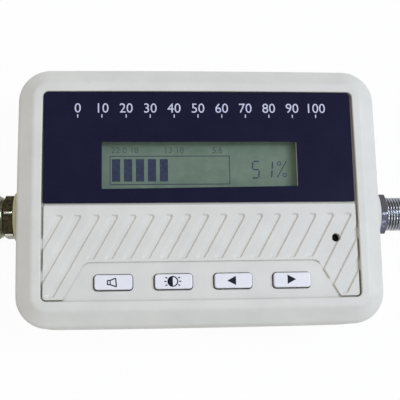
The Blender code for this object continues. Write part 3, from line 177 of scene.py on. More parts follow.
# Jack, plug and their inner parts
THREAD_CREST = 4.7 * MM
THREAD_DEPTH = 0.42 * MM
THREAD_PITCH = 0.794 * MM
CREST_SHARE = 0.38
ROOT_SHARE = 0.1
RUNOUT_SHARE = 0.3
BARREL_END = 61.5 * MM
BARREL_EDGE = 0.25 * MM
JACK_BORE = 3.0 * MM
JACK_FACE = 61.2 * MM
PLUG_BORE = 2.6 * MM
PLUG_FACE = 55.7 * MM
TAIL_INNER = 40.9 * MM
TAIL_RADIUS = 3.6 * MM
FLANGE_INNER = 44.1 * MM
FLANGE_OUTER = 45.6 * MM
FLANGE_RADIUS = 6.0 * MM
WASHER_INNER = 45.75 * MM
WASHER_OUTER = 46.35 * MM
WASHER_RADIUS = 5.9 * MM
WASHER_TEETH = 18
WASHER_TOOTH = 0.35 * MM
CONTACT_RADIUS = 0.45 * MM
CONTACT_INNER = 35.7 * MM
PIN_END = 61.0 * MM
SOCKET_END = 58.5 * MM
SOCKET_DEPTH = 3.0 * MM
SOCKET_BORE_SHARE = 0.6
SOCKET_SLOT_SHARE = 0.18

# Posts inside the front shell
POST_PLACE = (41.3 * MM, 27.45 * MM)
POST_RADIUS = 3.0 * MM
POST_FOOT = 6.15 * MM
PILOT_RADIUS = 1.45 * MM
PILOT_END = 15.35 * MM
BOARD_POST_PLACE = (34.9 * MM, 27.15 * MM)
BOARD_POST_RADIUS = 2.2 * MM
BOARD_POST_FOOT = 12.55 * MM
BOARD_PILOT_RADIUS = 1.25 * MM
BOARD_PILOT_END = 18.65 * MM

# Screws in the rear. The drive's stations are (half length, half width, height).
COUNTERBORE_RADIUS = 2.8 * MM
COUNTERBORE_DEPTH = 3.2 * MM
COUNTERBORE_EDGE = 0.25 * MM
SCREW_HOLE_RADIUS = 1.45 * MM
COLUMN_RADIUS = 3.7 * MM
COLUMN_TOP = 5.85 * MM
HEAD_RADIUS = 2.5 * MM
HEAD_HEIGHT = 1.8 * MM
HEAD_BOTTOM = 1.25 * MM
HEAD_CROWN_SHARE = 0.72
HEAD_CROWN_RISE_SHARE = 0.1
HEAD_SIDE_SHARE = 0.55
SCREW_SEAT = 3.05 * MM
SHANK_RADIUS = 1.3 * MM
SCREW_TIP_HEIGHT = 14.05 * MM
SCREW_POINT = 0.8 * MM
SCREW_PITCH = 1.0 * MM
SCREW_THREAD = 0.25 * MM
DRIVE_STATIONS = (
    (1.4 * MM, 0.34 * MM, 1.0 * MM),
    (1.3 * MM, 0.3 * MM, 1.3 * MM),
    (0.8 * MM, 0.22 * MM, 2.15 * MM),
)

# Generic number scale on the label
SCALE_STEPS = 10
SCALE_LAST_NUMBER = 100
SCALE_LEFT = -32.6 * MM
SCALE_RIGHT = 31.6 * MM
SCALE_NUMBER_Y = 23.4 * MM
SCALE_NUMBER_HEIGHT = 2.6 * MM
SCALE_TICK_Y = 21.6 * MM
SCALE_TICK = 0.9 * MM
SCALE_STROKE = 0.28 * MM
FONT_CAP_SHARE = 0.7

# Icons on the keys. The loudspeaker's points are in millimetres from its middle.
ICON_STROKE = 0.3 * MM
ICON_PLACES = (
    (-23.6 * MM, -23.2 * MM),
    (-7.93 * MM, -23.13 * MM),
    (7.37 * MM, -23.12 * MM),
    (23.25 * MM, -23.0 * MM),
)
SPEAKER_POINTS = ((-1.15, -0.55), (-0.45, -0.55), (1.15, -1.1), (0.95, 1.1), (-0.45, 0.55), (-1.15, 0.55))
SUN_RADIUS = 1.4 * MM
SUN_RAY_START = 1.6 * MM
SUN_RAY_END = 2.2 * MM
SUN_RAY_TILT = 30 * DEG
ARROW_LENGTH = 2.3 * MM
ARROW_HEIGHT = 2.4 * MM

# Marks on the display film. Each digit has its lit segments and its left end.
FILM_TOP = 21.55 * MM
BAR_FRAME = (-24.25 * MM, 2.97 * MM, 8.1 * MM, 10.9 * MM)
BAR_FRAME_STROKE = 0.2 * MM
BAR_COUNT = 5
BAR_LEFT = -23.66 * MM
BAR_PITCH = 3.2 * MM
BAR_WIDTH = 2.2 * MM
BAR_LOWER = 3.85 * MM
BAR_UPPER = 10.0 * MM
DIGITS = (("afgcd", 14.0 * MM), ("bc", 17.5 * MM))
DIGIT_LOWER = 4.7 * MM
DIGIT_WIDTH = 1.9 * MM
DIGIT_HEIGHT = 4.6 * MM
DIGIT_STROKE = 0.34 * MM
DIGIT_GAP = 0.12 * MM
DIGIT_SLANT = 0.09
PERCENT_PLACE = (22.3 * MM, 7.1 * MM)
PERCENT_HALF_SIZE = (1.3 * MM, 2.3 * MM)
PERCENT_STROKE = 0.24 * MM
PERCENT_RING_REACH = (0.9 * MM, 1.6 * MM)
PERCENT_RING_LEAN = 0.2 * MM
PERCENT_RING_RADIUS = 0.6 * MM
PERCENT_RING_STROKE = 0.22 * MM
SMALL_NUMBERS = (("22 0 18", -20.2 * MM), ("13 18", -7.0 * MM), ("5.6", 4.8 * MM))
SMALL_NUMBER_Y = 12.5 * MM
SMALL_NUMBER_HEIGHT = 1.7 * MM

# Prints: how far ink stands proud and how deep it is sunk
INK_RISE = 0.012 * MM
INK_ROOT = 0.03 * MM

# Painted shade in crevices and at the left connector, grime spots on metal, painted glints on the left nut's
# edges.
# Each pair is where the change starts and where it is full.
CREVICE_REACH = 0.8 * MM
CREVICE_OPENNESS = (0.3, 0.8)
# Painted shade: the colour of crevices where the ambient occlusion node finds nearby surfaces
PAINTED_CREVICE_SHADE = (146, 144, 128)
# Painted warm shade on the case's left end, by the left connector
PAINTED_LEFT_SHADE_SPAN = (-48.6 * MM, -49.1 * MM)
PAINTED_LEFT_SHADE_COLOUR = (202, 196, 158)
GRIME_SPOTS = (0.42, 0.66)
GRIME_COLOUR = (14, 12, 8)
# Painted highlight: the angles round a nut between which its edges are painted bright
EDGE_GLINT_ANGLES = (26.5 * DEG, 28.5 * DEG)

# Camera, floor, world and lamps. Each lamp has its place and size in metres, its power and its colour.
LENS = 72
SENSOR = 36
CLIP_START = 10 * MM
CAMERA_ROLL = 0.382 * DEG
CAMERA_YAW = 4.541 * DEG
CAMERA_PITCH = -9.931 * DEG
CAMERA_PLACE = (-17.17 * MM, -38.11 * MM, 232.02 * MM)
FLOOR_RADIUS = 12.0
FLOOR_HEIGHT = -0.05 * MM
FLOOR_WHITE_SHARE = 0.96
WORLD_STRENGTH = 0.495
WORLD_COLOUR = (1.0, 0.98, 0.935)
GLINT = (0.13, 0.45, (0.95, 1.0, 1.1))
LAMPS = (
    ("key_lamp", (0.93, 0.2, 1.08), 0.38, 7.8, (0.85, 0.99, 1.17)),
    ("top_lamp", (-0.22, 0.5, 0.88), 0.05, 0.3, (1.0, 1.0, 1.0)),
    ("left_lamp", (-0.32, -0.02, 0.24), 0.15, 0.09, (1.0, 0.98, 0.9)),
    ("low_lamp", (0.15, -0.62, 0.36), 0.15, 0.12, (0.75, 1.0, 1.3)),
    ("glint_lamp_far", (0.41, 0.575, 0.75), *GLINT),
    ("glint_lamp_upper", (0.41, 0.125, 0.94), *GLINT),
    ("glint_lamp_middle", (0.41, -0.235, 0.92), *GLINT),
    ("glint_lamp_lower", (0.41, -0.555, 0.77), *GLINT),
)

# Plastics and prints: dark tone, light tone, mottle per millimetre, least and most roughness,
# grain per millimetre, grain depth in millimetres and, where it isn't 0.5, the specular level
PLASTICS = {
    "case_plastic": ((211, 209, 205), (219, 217, 212), 0.12, (0.46, 0.6), 4.0, 0.012),
    "rear_plastic": ((206, 203, 197), (215, 212, 206), 0.12, (0.5, 0.65), 3.5, 0.015),
    "label_film": ((24, 24, 47), (28, 28, 52), 0.15, (0.24, 0.32), 5.0, 0.003, 0.06),
    "label_print": ((188, 188, 216), (204, 204, 228), 1.0, (0.4, 0.5), 6.0, 0.002),
    "key_plastic": ((227, 226, 234), (233, 232, 239), 0.25, (0.3, 0.42), 5.0, 0.004),
    "key_print": ((12, 12, 28), (24, 24, 42), 1.5, (0.4, 0.55), 6.0, 0.002, 0.2),
    "display_ink": ((40, 46, 68), (58, 64, 88), 1.6, (0.35, 0.5), 6.0, 0.002, 0.2),
    "display_faint_ink": ((60, 72, 78), (74, 88, 88), 2.0, (0.35, 0.5), 6.0, 0.002),
    "insulator_plastic": ((222, 220, 214), (236, 235, 230), 0.6, (0.35, 0.5), 4.0, 0.006),
    "light_guide": ((214, 220, 216), (232, 236, 232), 0.4, (0.22, 0.35), 3.0, 0.01),
    "switch_housing": ((32, 32, 33), (46, 46, 46), 0.8, (0.4, 0.6), 5.0, 0.008),
    "switch_plunger": ((150, 148, 140), (172, 170, 162), 1.0, (0.4, 0.55), 5.0, 0.006),
    "reflector_film": ((186, 196, 186), (205, 212, 204), 0.5, (0.25, 0.4), 4.0, 0.005),
    "lamp_resin": ((236, 230, 190), (246, 242, 212), 1.0, (0.2, 0.35), 4.0, 0.004),
    "holder_plastic": ((206, 204, 198), (222, 220, 214), 0.5, (0.45, 0.6), 4.0, 0.01),
    "contact_rubber": ((168, 150, 146), (190, 170, 164), 1.5, (0.65, 0.85), 5.0, 0.015),
    "sounder_case": ((26, 26, 27), (40, 40, 41), 0.7, (0.4, 0.6), 5.0, 0.01),
    "chip_epoxy": ((30, 30, 32), (44, 44, 47), 1.2, (0.45, 0.65), 6.0, 0.01),
    "capacitor_sleeve": ((28, 36, 70), (42, 52, 92), 0.8, (0.3, 0.45), 4.0, 0.006),
    "ferrite": ((62, 62, 64), (84, 84, 86), 1.5, (0.6, 0.8), 5.0, 0.02),
}

# Plated metals: dark tone, light tone, least and most roughness and tarnish clouds per millimetre
METALS = {
    "nickel_plate": ((150, 154, 158), (180, 182, 188), (0.14, 0.28), 0.35),
    "bright_nickel": ((106, 106, 114), (126, 126, 136), (0.14, 0.3), 0.35),
    # Painted shade: the left nut's plating is the right nut's, darkened for the dark reflections it shows
    "dark_nickel": ((56, 53, 42), (104, 96, 72), (0.16, 0.32), 1.2),
    "coupling_plate": ((106, 106, 86), (156, 155, 130), (0.14, 0.32), 0.4),
    "contact_gold": ((170, 132, 66), (206, 168, 96), (0.18, 0.32), 1.0),
    "screw_steel": ((128, 126, 122), (176, 174, 170), (0.25, 0.45), 0.8),
    "tin_plate": ((150, 150, 148), (184, 184, 182), (0.25, 0.45), 0.35),
    "crystal_can": ((160, 160, 160), (192, 192, 192), (0.2, 0.35), 0.35),
}

# Marks on metal: features per millimetre, depths in millimetres and the clouds' span
LATHE_LINES = 9.0
LATHE_DEPTH = 0.006
SCRATCHES = 5.0
SCRATCH_DEPTH = 0.008
GRIME_GRAIN = 1.6
CLOUD_SPAN = (0.35, 0.65)

# CAD nodes that keep their own shape and are of one plain plastic
PLASTIC_NODES = {
    "switch_housing": [f"{name}_switch" for name in KEY_NAMES],
    "switch_plunger": [f"{name}_plunger" for name in KEY_NAMES],
    "reflector_film": ["lcd_rear_polariser"],
    "lamp_resin": ["lcd_light_lamp"],
    "holder_plastic": ["lcd_holder"],
    "contact_rubber": ["lcd_contact_strip"],
    "sounder_case": ["sounder"],
    "chip_epoxy": ["controller_chip", "voltage_regulator"],
    "capacitor_sleeve": ["board_capacitor_1", "board_capacitor_2"],
    "ferrite": ["power_inductor"],
}

# Facets: sides of round shapes, and steps of arcs, chamfers and a thread's turn
CORNER_STEPS = 14
SIDE_STEPS = 10
BLEND_STEPS = 8
EDGE_STEPS = 3
STRIPE_CORNER_STEPS = 5
KEY_STEPS = 6
LABEL_CORNER_STEPS = 10
PIN_TIP_STEPS = 8
NUT_CHAMFER_STEPS = 6
COUPLING_CHAMFER_STEPS = 10
COUPLING_END_STEPS = 8
THREAD_STEPS = 12
COARSE_THREAD_STEPS = 8
DISC_STEPS = 20
FONT_STEPS = 4
ROUND_SIDES = 64
HEXAGON_SIDES = 180
THREAD_SIDES = 48
COLUMN_SIDES = 48
POST_SIDES = 32
PILOT_SIDES = 24
CONTACT_SIDES = 32
RING_MARK_SIDES = 40
PERCENT_RING_SIDES = 24
FILLET_SHARE = 0.46
LIP_LIFT = 0.004 * MM
SHARP_ANGLE = 32 * DEG
SCREW_SHARP_ANGLE = 40 * DEG
NORMAL_WEIGHT = 60
MERGE_DISTANCE = 0.002 * MM


def lerp(a, b, share):
    return a + (b - a) * share


def turn_angles(count):
    """The angles of a whole turn in equal steps."""
    return [2 * pi * step / count for step in range(count)]


def polar(centre, radius, angle):
    return centre[0] + radius * cos(angle), centre[1] + radius * sin(angle)


def circle(centre, radius, sides=ROUND_SIDES):
    return [polar(centre, radius, angle) for angle in turn_angles(sides)]


def box(left, lower, right, upper):
    return [(left, lower), (right, lower), (right, upper), (left, upper)]


def rounded_path(corners, closed=True, steps=EDGE_STEPS):
    """Points along (x, y, radius) corners, each rounded by an arc that fits between its neighbours."""
    points = []
    for index, (x, y, radius) in enumerate(corners):
        here = Vector((x, y))
        at_end = not closed and index in (0, len(corners) - 1)
        if radius <= 0 or at_end:
            points.append((x, y))
            continue
        before = Vector(corners[index - 1][:2]) - here
        after = Vector(corners[(index + 1) % len(corners)][:2]) - here
        half_angle = before.angle(after) / 2
        longest = FILLET_SHARE * min(before.length, after.length)
        reach = min(radius / tan(half_angle), longest)
        fitted = reach * tan(half_angle)
        middle = (before.normalized() + after.normalized()).normalized()
        centre = here + middle * (fitted / sin(half_angle))
        start = here + before.normalized() * reach - centre
        sweep = pi - 2 * half_angle
        if before.cross(after) > 0:
            sweep = -sweep
        for step in range(steps + 1):
            points.append(polar(centre, fitted, atan2(start.y, start.x) + sweep * step / steps))
    return points


def rounded_box(corners, radii, steps):
    return rounded_path([(x, y, radius) for (x, y), radius in zip(corners, radii)], steps=steps)


def rounded_rectangle(centre, half_length, half_width, radius, steps=EDGE_STEPS):
    x, y = centre
    corners = box(x - half_length, y - half_width, x + half_length, y + half_width)
    return rounded_box(corners, [radius] * 4, steps)


def moved_in(outline, distance):
    """A counter-clockwise outline with its sides moved inward by a distance, or outward by a negative one."""
    moved = []
    for index, here in enumerate(outline):
        before = (Vector(here) - Vector(outline[index - 1])).normalized()
        after = (Vector(outline[(index + 1) % len(outline)]) - Vector(here)).normalized()
        left_before = Vector((-before.y, before.x))
        left_after = Vector((-after.y, after.x))
        shift = (left_before + left_after) / (1 + left_before.dot(left_after))
        moved.append(tuple(Vector(here) + shift * distance))
    return moved


def clipped(outline, point, inward):
    """The part of a convex outline on the side of the line through a point that inward points to."""
    kept = []
    for index, here in enumerate(outline):
        there = outline[(index + 1) % len(outline)]
        depth_here = (Vector(here) - Vector(point)).dot(Vector(inward))
        depth_there = (Vector(there) - Vector(point)).dot(Vector(inward))
        if depth_here >= 0:
            kept.append(here)
        if depth_here * depth_there < 0:
            crossing = Vector(here).lerp(Vector(there), depth_here / (depth_here - depth_there))
            kept.append(tuple(crossing))
    return kept


def at_height(outline, height):
    return [(x, y, height) for x, y in outline]


def rounding(start, corner, end, steps=EDGE_STEPS):
    """Points of a soft curve from start to end that leans towards a corner."""
    points = []
    for step in range(steps + 1):
        share = step / steps
        first = [lerp(a, b, share) for a, b in zip(start, corner)]
        second = [lerp(a, b, share) for a, b in zip(corner, end)]
        points.append(tuple(lerp(a, b, share) for a, b in zip(first, second)))
    return points


def straight(start, end, steps):
    """Points in equal steps from start to end."""
    return [tuple(lerp(a, b, step / steps) for a, b in zip(start, end)) for step in range(steps + 1)]


def chain(mesh, rings):
    """Skins rings of equal point count one after another. Returns their loops of vertices."""
    loops = [[mesh.verts.new(point) for point in ring] for ring in rings]
    for lower, upper in zip(loops, loops[1:]):
        bridge(mesh, lower, upper)
    return loops


def bridge(mesh, lower, upper):
    """Joins two loops of vertices of equal count with quads."""
    for index in range(len(lower)):
        after = (index + 1) % len(lower)
        mesh.faces.new((lower[index], lower[after], upper[after], upper[index]))


def fill_between(mesh, outer, hole):
    """A flat face inside a loop of vertices, with a hole."""
    vertices = [*outer, *hole]
    for triangle in tessellate_polygon([[vertex.co for vertex in loop] for loop in (outer, hole)]):
        mesh.faces.new([vertices[index] for index in triangle])


def loft(mesh, rings, closed=False):
    """A solid through rings of equal point count. Its ends are filled, or the last ring meets the first."""
    loops = chain(mesh, rings)
    if closed:
        bridge(mesh, loops[-1], loops[0])
    else:
        mesh.faces.new(loops[0])
        mesh.faces.new(loops[-1])


def solids(*parts, closed=False):
    """A mesh of lofted solids, one from each list of rings."""
    mesh = bmesh.new()
    for rings in parts:
        loft(mesh, rings, closed)
    return mesh


def outline_rings(outline, profile):
    """Rings of one outline along (inset, height) stations."""
    return [at_height(moved_in(outline, inset), height) for inset, height in profile]


def outline_loft(outline, profile):
    return solids(outline_rings(outline, profile))


def upright_rings(centre, stations, sides):
    """Rings round a vertical axis, one for each (radius, height) station."""
    return [at_height(circle(centre, radius, sides), height) for radius, height in stations]


def upright_loft(places, stations, sides):
    """The same turned solid at each place."""
    return solids(*(upright_rings(centre, stations, sides) for centre in places))


def corner_places(x, y):
    return [(sign_x * x, sign_y * y) for sign_x in (-1, 1) for sign_y in (-1, 1)]


def corner_rods(place, radius, low, high, sides):
    """Four upright rods, one towards each corner of the case."""
    return upright_loft(corner_places(*place), [(radius, low), (radius, high)], sides)


def axis_point(side, distance, radius, angle):
    """A point round a connector's axis, the jack's on side 1 and the plug's on side -1."""
    return side * distance, JACK_Y + radius * cos(angle), JOINT_HEIGHT + radius * sin(angle)


def jack_rings(side, stations, sides=ROUND_SIDES):
    """Rings round a connector's axis, one for each (distance, radius) station."""
    return [[axis_point(side, distance, radius, angle) for angle in turn_angles(sides)]
            for distance, radius in stations]


def make_object(name, mesh):
    bmesh.ops.recalc_face_normals(mesh, faces=mesh.faces)
    data = bpy.data.meshes.new(name)
    mesh.to_mesh(data)
    mesh.free()
    item = bpy.data.objects.new(name, data)
    bpy.context.scene.collection.objects.link(item)
    return item


def carve(item, steps):
    """Adds or takes away closed shapes one after another, and keeps the result as the item's mesh."""
    tools = []
    for number, (operation, mesh) in enumerate(steps):
        tool = make_object(f"{item.name}_tool_{number}", mesh)
        modifier = item.modifiers.new("carve", "BOOLEAN")
        modifier.object = tool
        modifier.operation = operation
        modifier.solver = "EXACT"
        tools.append(tool)
    bpy.context.view_layer.update()
    result = bpy.data.meshes.new_from_object(item.evaluated_get(bpy.context.evaluated_depsgraph_get()))
    item.modifiers.clear()
    item.data = result
    for tool in tools:
        bpy.data.objects.remove(tool, do_unlink=True)


def smooth(item, angle):
    item.data.shade_smooth()
    item.data.set_sharp_from_angle(angle=angle)
    modifier = item.modifiers.new("flat_faces", "WEIGHTED_NORMAL")
    modifier.keep_sharp = True
    modifier.weight = NORMAL_WEIGHT


def make_piece(name, mesh, material, replaced=None, body="meter", steps=(), angle=SHARP_ANGLE):
    """A finished piece: its shape, its material, its body and the CAD node that it stands for."""
    item = make_object(name, mesh)
    if steps:
        carve(item, steps)
    smooth(item, angle)
    item.data.materials.clear()
    item.data.materials.append(material)
    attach(item, body)
    if replaced:
        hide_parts(replaced)


def swollen(x, y):
    """Moves a point outward by the slight bulge of the case's sides, which is largest at their middles."""
    along = 1 - (x / HALF_LENGTH) ** 2
    across = 1 - (y / HALF_WIDTH) ** 2
    return x * (1 + SIDE_SWELL * across / HALF_LENGTH), y * (1 + SIDE_SWELL * along / HALF_WIDTH)


def case_ring(inset, height):
    """The case's outline at a height, set in from its widest line."""
    radius = CORNER_RADIUS - (CORNER_RADIUS - RECESS_RADIUS) * inset / RIM_WIDTH
    half_length = HALF_LENGTH - SIDE_SWELL - inset
    half_width = HALF_WIDTH - SIDE_SWELL - inset
    plain = rounded_rectangle((0, 0), half_length, half_width, radius, CORNER_STEPS)
    points = []
    for index, here in enumerate(plain):
        points.append(here)
        if (index + 1) % (CORNER_STEPS + 1) == 0:
            there = plain[(index + 1) % len(plain)]
            points += straight(here, there, SIDE_STEPS)[1:-1]
    return [(*swollen(x, y), height) for x, y in points]


def case_loft(profile):
    """A solid of the case's outline along (inset, height) stations."""
    return solids([case_ring(inset, height) for inset, height in profile])


def half_boss(side, up):
    """Half of the round boss at one end of the case, above the joint or below it."""
    corners = [
        (BOSS_INNER, BOSS_RADIUS, 0),
        (BOSS_FACE, BOSS_RADIUS, BOSS_EDGE),
        (BOSS_FACE, BORE_RADIUS, 0),
    ]
    steps = ROUND_SIDES // 2
    rings = []
    for distance, radius in rounded_path(corners, closed=False)[:-1]:
        first = asin(BOSS_GAP / radius)
        angles = [lerp(first, pi - first, step / steps) for step in range(steps + 1)]
        rings.append([axis_point(side, distance, radius, up * angle) for angle in angles])
    return rings


def half_bosses(up):
    return solids(half_boss(-1, up), half_boss(1, up))


def barrel_bores():
    stations = [(FLANGE_INNER, BORE_RADIUS), (BARREL_END, BORE_RADIUS)]
    return solids(jack_rings(-1, stations), jack_rings(1, stations))


def front_shell():
    """The outside of the front shell: its side, the sloping rim and the recess."""
    joint = JOINT_HEIGHT + SHELL_GAP / 2
    corners = [
        (WALL / 4, joint, 0),
        (0, joint, PARTING_EDGE),
        (0, CASE_HEIGHT - RIM_SLOPE_DEPTH, RIM_BLEND),
        (RIM_SLOPE_WIDTH, CASE_HEIGHT, RIM_BLEND),
        (RIM_WIDTH, CASE_HEIGHT, RIM_INNER_BLEND),
        (RIM_WIDTH, PANEL_HEIGHT, RECESS_FOOT),
        (RIM_WIDTH + 2.5 * RECESS_FOOT, PANEL_HEIGHT, 0),
    ]
    return case_loft(rounded_path(corners, closed=False, steps=BLEND_STEPS))


def front_cavity():
    rebate = LIP_INSET - LIP_FIT
    rebate_height = JOINT_HEIGHT + LIP_HEIGHT + LIP_FIT
    return case_loft([
        (rebate, JOINT_HEIGHT - SHELL_GAP),
        (rebate, rebate_height),
        (WALL, rebate_height),
        (WALL, FACE_UNDER - CAVITY_SLOPE),
        (WALL + CAVITY_SLOPE, FACE_UNDER),
    ])


def land_outline():
    """The striped land: a band across the recess with the key panel's shape cut from its lower side."""
    panel_lower_half = PANEL_UPPER_HALF + (PANEL_UPPER_Y - LAND_LOWER_Y) / tan(PANEL_SIDE_ANGLE)
    corners = [
        (-LAND_HALF_LENGTH, LAND_LOWER_Y, LAND_RADIUS),
        (-panel_lower_half, LAND_LOWER_Y, LAND_END_RADIUS),
        (-PANEL_UPPER_HALF, PANEL_UPPER_Y, PANEL_SHOULDER_RADIUS),
        (PANEL_UPPER_HALF, PANEL_UPPER_Y, PANEL_SHOULDER_RADIUS),
        (panel_lower_half, LAND_LOWER_Y, LAND_END_RADIUS),
        (LAND_HALF_LENGTH, LAND_LOWER_Y, LAND_RADIUS),
        (LAND_HALF_LENGTH, LAND_UPPER_Y, LAND_END_RADIUS),
        (-LAND_HALF_LENGTH, LAND_UPPER_Y, LAND_END_RADIUS),
    ]
    return rounded_path(corners, steps=BLEND_STEPS)


def raised_land():
    root = PANEL_HEIGHT - LAND_SINK
    profile = [(-LAND_FOOT, PANEL_HEIGHT - LAND_FOOT)]
    profile += rounding((-LAND_FOOT, root), (0, root), (0, PANEL_HEIGHT + LAND_FOOT))
    profile += rounding((0, LAND_HEIGHT - LAND_EDGE), (0, LAND_HEIGHT), (LAND_EDGE, LAND_HEIGHT))
    return outline_loft(land_outline(), profile)


def label_seat():
    """The low step that the label is stuck to. It meets the land."""
    lower = LAND_UPPER_Y - LAND_GAP
    middle = (0, (lower + LABEL_UPPER_Y) / 2)
    half_length = LAND_HALF_LENGTH - LAND_EDGE
    outline = rounded_rectangle(middle, half_length, (LABEL_UPPER_Y - lower) / 2, LAND_RADIUS)
    return outline_loft(outline, [(0, PANEL_HEIGHT - 2 * LAND_FOOT), (0, SEAT_HEIGHT)])


def stripe_outline(corner_x):
    """One groove's outline, from its upper right corner down along the lean.

    It runs out through the land's ends and its sloping sides, and stops short of the land's other edges.
    """
    top = LAND_UPPER_Y - STRIPE_TOP_INSET
    half_length = LAND_HALF_LENGTH + STRIPE_OVERRUN
    lean = Vector((cos(STRIPE_ANGLE), sin(STRIPE_ANGLE)))
    right = Vector((corner_x, top))
    left = right - Vector((STRIPE_WIDTH, 0))
    fall = lean * (RECESS_HALF_WIDTH * 2)
    outline = [tuple(left), tuple(left - fall), tuple(right - fall), tuple(right)]
    outline = clipped(outline, (-half_length, 0), (1, 0))
    outline = clipped(outline, (half_length, 0), (-1, 0))
    outline = clipped(outline, (0, LAND_LOWER_Y + STRIPE_MARGIN), (0, 1))
    panel_stop = PANEL_UPPER_Y + STRIPE_MARGIN
    meets_at = corner_x - STRIPE_WIDTH / 2 - (top - panel_stop) / tan(STRIPE_ANGLE)
    if abs(meets_at) < PANEL_UPPER_HALF:
        return clipped(outline, (0, panel_stop), (0, 1))
    side = 1 if meets_at > 0 else -1
    outward = Vector((side * sin(PANEL_SIDE_ANGLE), cos(PANEL_SIDE_ANGLE)))
    shoulder = Vector((side * PANEL_UPPER_HALF, PANEL_UPPER_Y))
    return clipped(outline, tuple(shoulder - outward * STRIPE_OVERRUN), tuple(outward))


def stripe_rings(outline):
    """One groove's rings, from its flat foot up leaning walls to soft lips on the land.

    Its foot is skewed to the right, so that its left wall is the flatter one.
    """
    foot = LAND_HEIGHT - STRIPE_DEPTH
    top = LAND_HEIGHT + LIP_LIFT
    lean = STRIPE_EDGE * STRIPE_WALL / STRIPE_DEPTH
    wall = (STRIPE_WALL - lean, foot + STRIPE_EDGE)
    profile = rounding((STRIPE_WALL + STRIPE_EDGE, foot), (STRIPE_WALL, foot), wall)
    profile += rounding((lean, LAND_HEIGHT - STRIPE_EDGE), (0, top), (-STRIPE_EDGE, top))
    rings = []
    for inset, height in profile:
        share = max(0, min(1, inset / STRIPE_WALL))
        radius = lerp(STRIPE_CORNER, STRIPE_FOOT_CORNER, share)
        corners = [(x, y, radius) for x, y in moved_in(outline, inset)]
        rounded = rounded_path(corners, steps=STRIPE_CORNER_STEPS)
        rings.append([(x + share * STRIPE_SKEW, y, height) for x, y in rounded])
    rings.append([(x, y, z + STRIPE_DEPTH) for x, y, z in rings[-1]])
    return rings


def striped_land():
    """The raised land with its grooves cut."""
    land = make_object("land", raised_land())
    start = STRIPE_START + LAND_GAP - RECESS_HALF_LENGTH
    corners = [start + number * STRIPE_PITCH for number in range(STRIPE_COUNT)]
    carve(land, [("DIFFERENCE", solids(*(stripe_rings(stripe_outline(corner_x)) for corner_x in corners)))])
    mesh = bmesh.new()
    mesh.from_mesh(land.data)
    bpy.data.objects.remove(land, do_unlink=True)
    return mesh


def flared(outline, surface, edge):
    """A cutter down through the face whose upper lip opens softly onto a surface."""
    top = surface + LIP_LIFT
    lip = rounding((0, surface - edge), (0, top), (-edge, top))
    return outline_loft(outline, [(0, FACE_UNDER - WALL), *lip, (-edge, surface + WALL)])


def aperture_cutter():
    outline = box(
        WINDOW_LEFT - APERTURE_MARGIN,
        WINDOW_LOWER - APERTURE_MARGIN,
        WINDOW_RIGHT + APERTURE_MARGIN,
        WINDOW_UPPER + APERTURE_UPPER_MARGIN,
    )
    return outline_loft(outline, [(0, FACE_UNDER - WALL), (0, CASE_HEIGHT)])


def key_places():
    first = (len(KEY_NAMES) - 1) / 2
    return [(index * KEY_PITCH - first * KEY_PITCH, KEY_Y) for index in range(len(KEY_NAMES))]


def key_outline(centre, margin, radius):
    return rounded_rectangle(centre, KEY_HALF_LENGTH + margin, KEY_HALF_WIDTH + margin, radius, KEY_STEPS)


def key_slot(centre):
    return flared(key_outline(centre, KEY_SLOT_GAP, KEY_RADIUS + KEY_SLOT_GAP), PANEL_HEIGHT, KEY_SLOT_EDGE)


def build_front_case(material):
    root = FACE_UNDER + LAND_FOOT
    pilot_foot = POST_FOOT - WALL
    board_pilot_foot = BOARD_POST_FOOT - WALL
    sound_hole = circle(SOUND_HOLE, SOUND_HOLE_RADIUS, POST_SIDES)
    steps = [
        ("UNION", half_bosses(1)),
        ("DIFFERENCE", front_cavity()),
        ("UNION", striped_land()),
        ("UNION", label_seat()),
        ("UNION", corner_rods(POST_PLACE, POST_RADIUS, POST_FOOT, root, POST_SIDES)),
        ("UNION", corner_rods(BOARD_POST_PLACE, BOARD_POST_RADIUS, BOARD_POST_FOOT, root, POST_SIDES)),
        ("DIFFERENCE", aperture_cutter()),
        ("DIFFERENCE", flared(sound_hole, LAND_HEIGHT, SOUND_HOLE_EDGE)),
        ("DIFFERENCE", barrel_bores()),
        ("DIFFERENCE", corner_rods(POST_PLACE, PILOT_RADIUS, pilot_foot, PILOT_END, PILOT_SIDES)),
        ("DIFFERENCE", corner_rods(BOARD_POST_PLACE, BOARD_PILOT_RADIUS, board_pilot_foot, BOARD_PILOT_END,
                                   PILOT_SIDES)),
    ]
    steps += [("DIFFERENCE", key_slot(centre)) for centre in key_places()]
    make_piece("front_shell", front_shell(), material, "front_case", steps=steps)


def rear_shell():
    joint = JOINT_HEIGHT - SHELL_GAP / 2
    corners = [
        (2 * REAR_EDGE_WIDTH, 0, 0),
        (REAR_EDGE_WIDTH, 0, REAR_EDGE_WIDTH / 3),
        (0, REAR_EDGE_DEPTH, REAR_EDGE_WIDTH),
        (0, joint, PARTING_EDGE),
        (WALL / 4, joint, 0),
    ]
    return case_loft(rounded_path(corners, closed=False, steps=BLEND_STEPS))


def rear_lip():
    top = JOINT_HEIGHT + LIP_HEIGHT
    return case_loft([
        (LIP_INSET, FLOOR_THICKNESS * 3),
        (LIP_INSET, top - LIP_FIT),
        (LIP_INSET + LIP_FIT, top),
    ])


def rear_cavity():
    return case_loft([
        (WALL + FLOOR_SLOPE, FLOOR_THICKNESS),
        (WALL, FLOOR_THICKNESS + FLOOR_SLOPE),
        (WALL, JOINT_HEIGHT + 2 * LIP_HEIGHT),
    ])


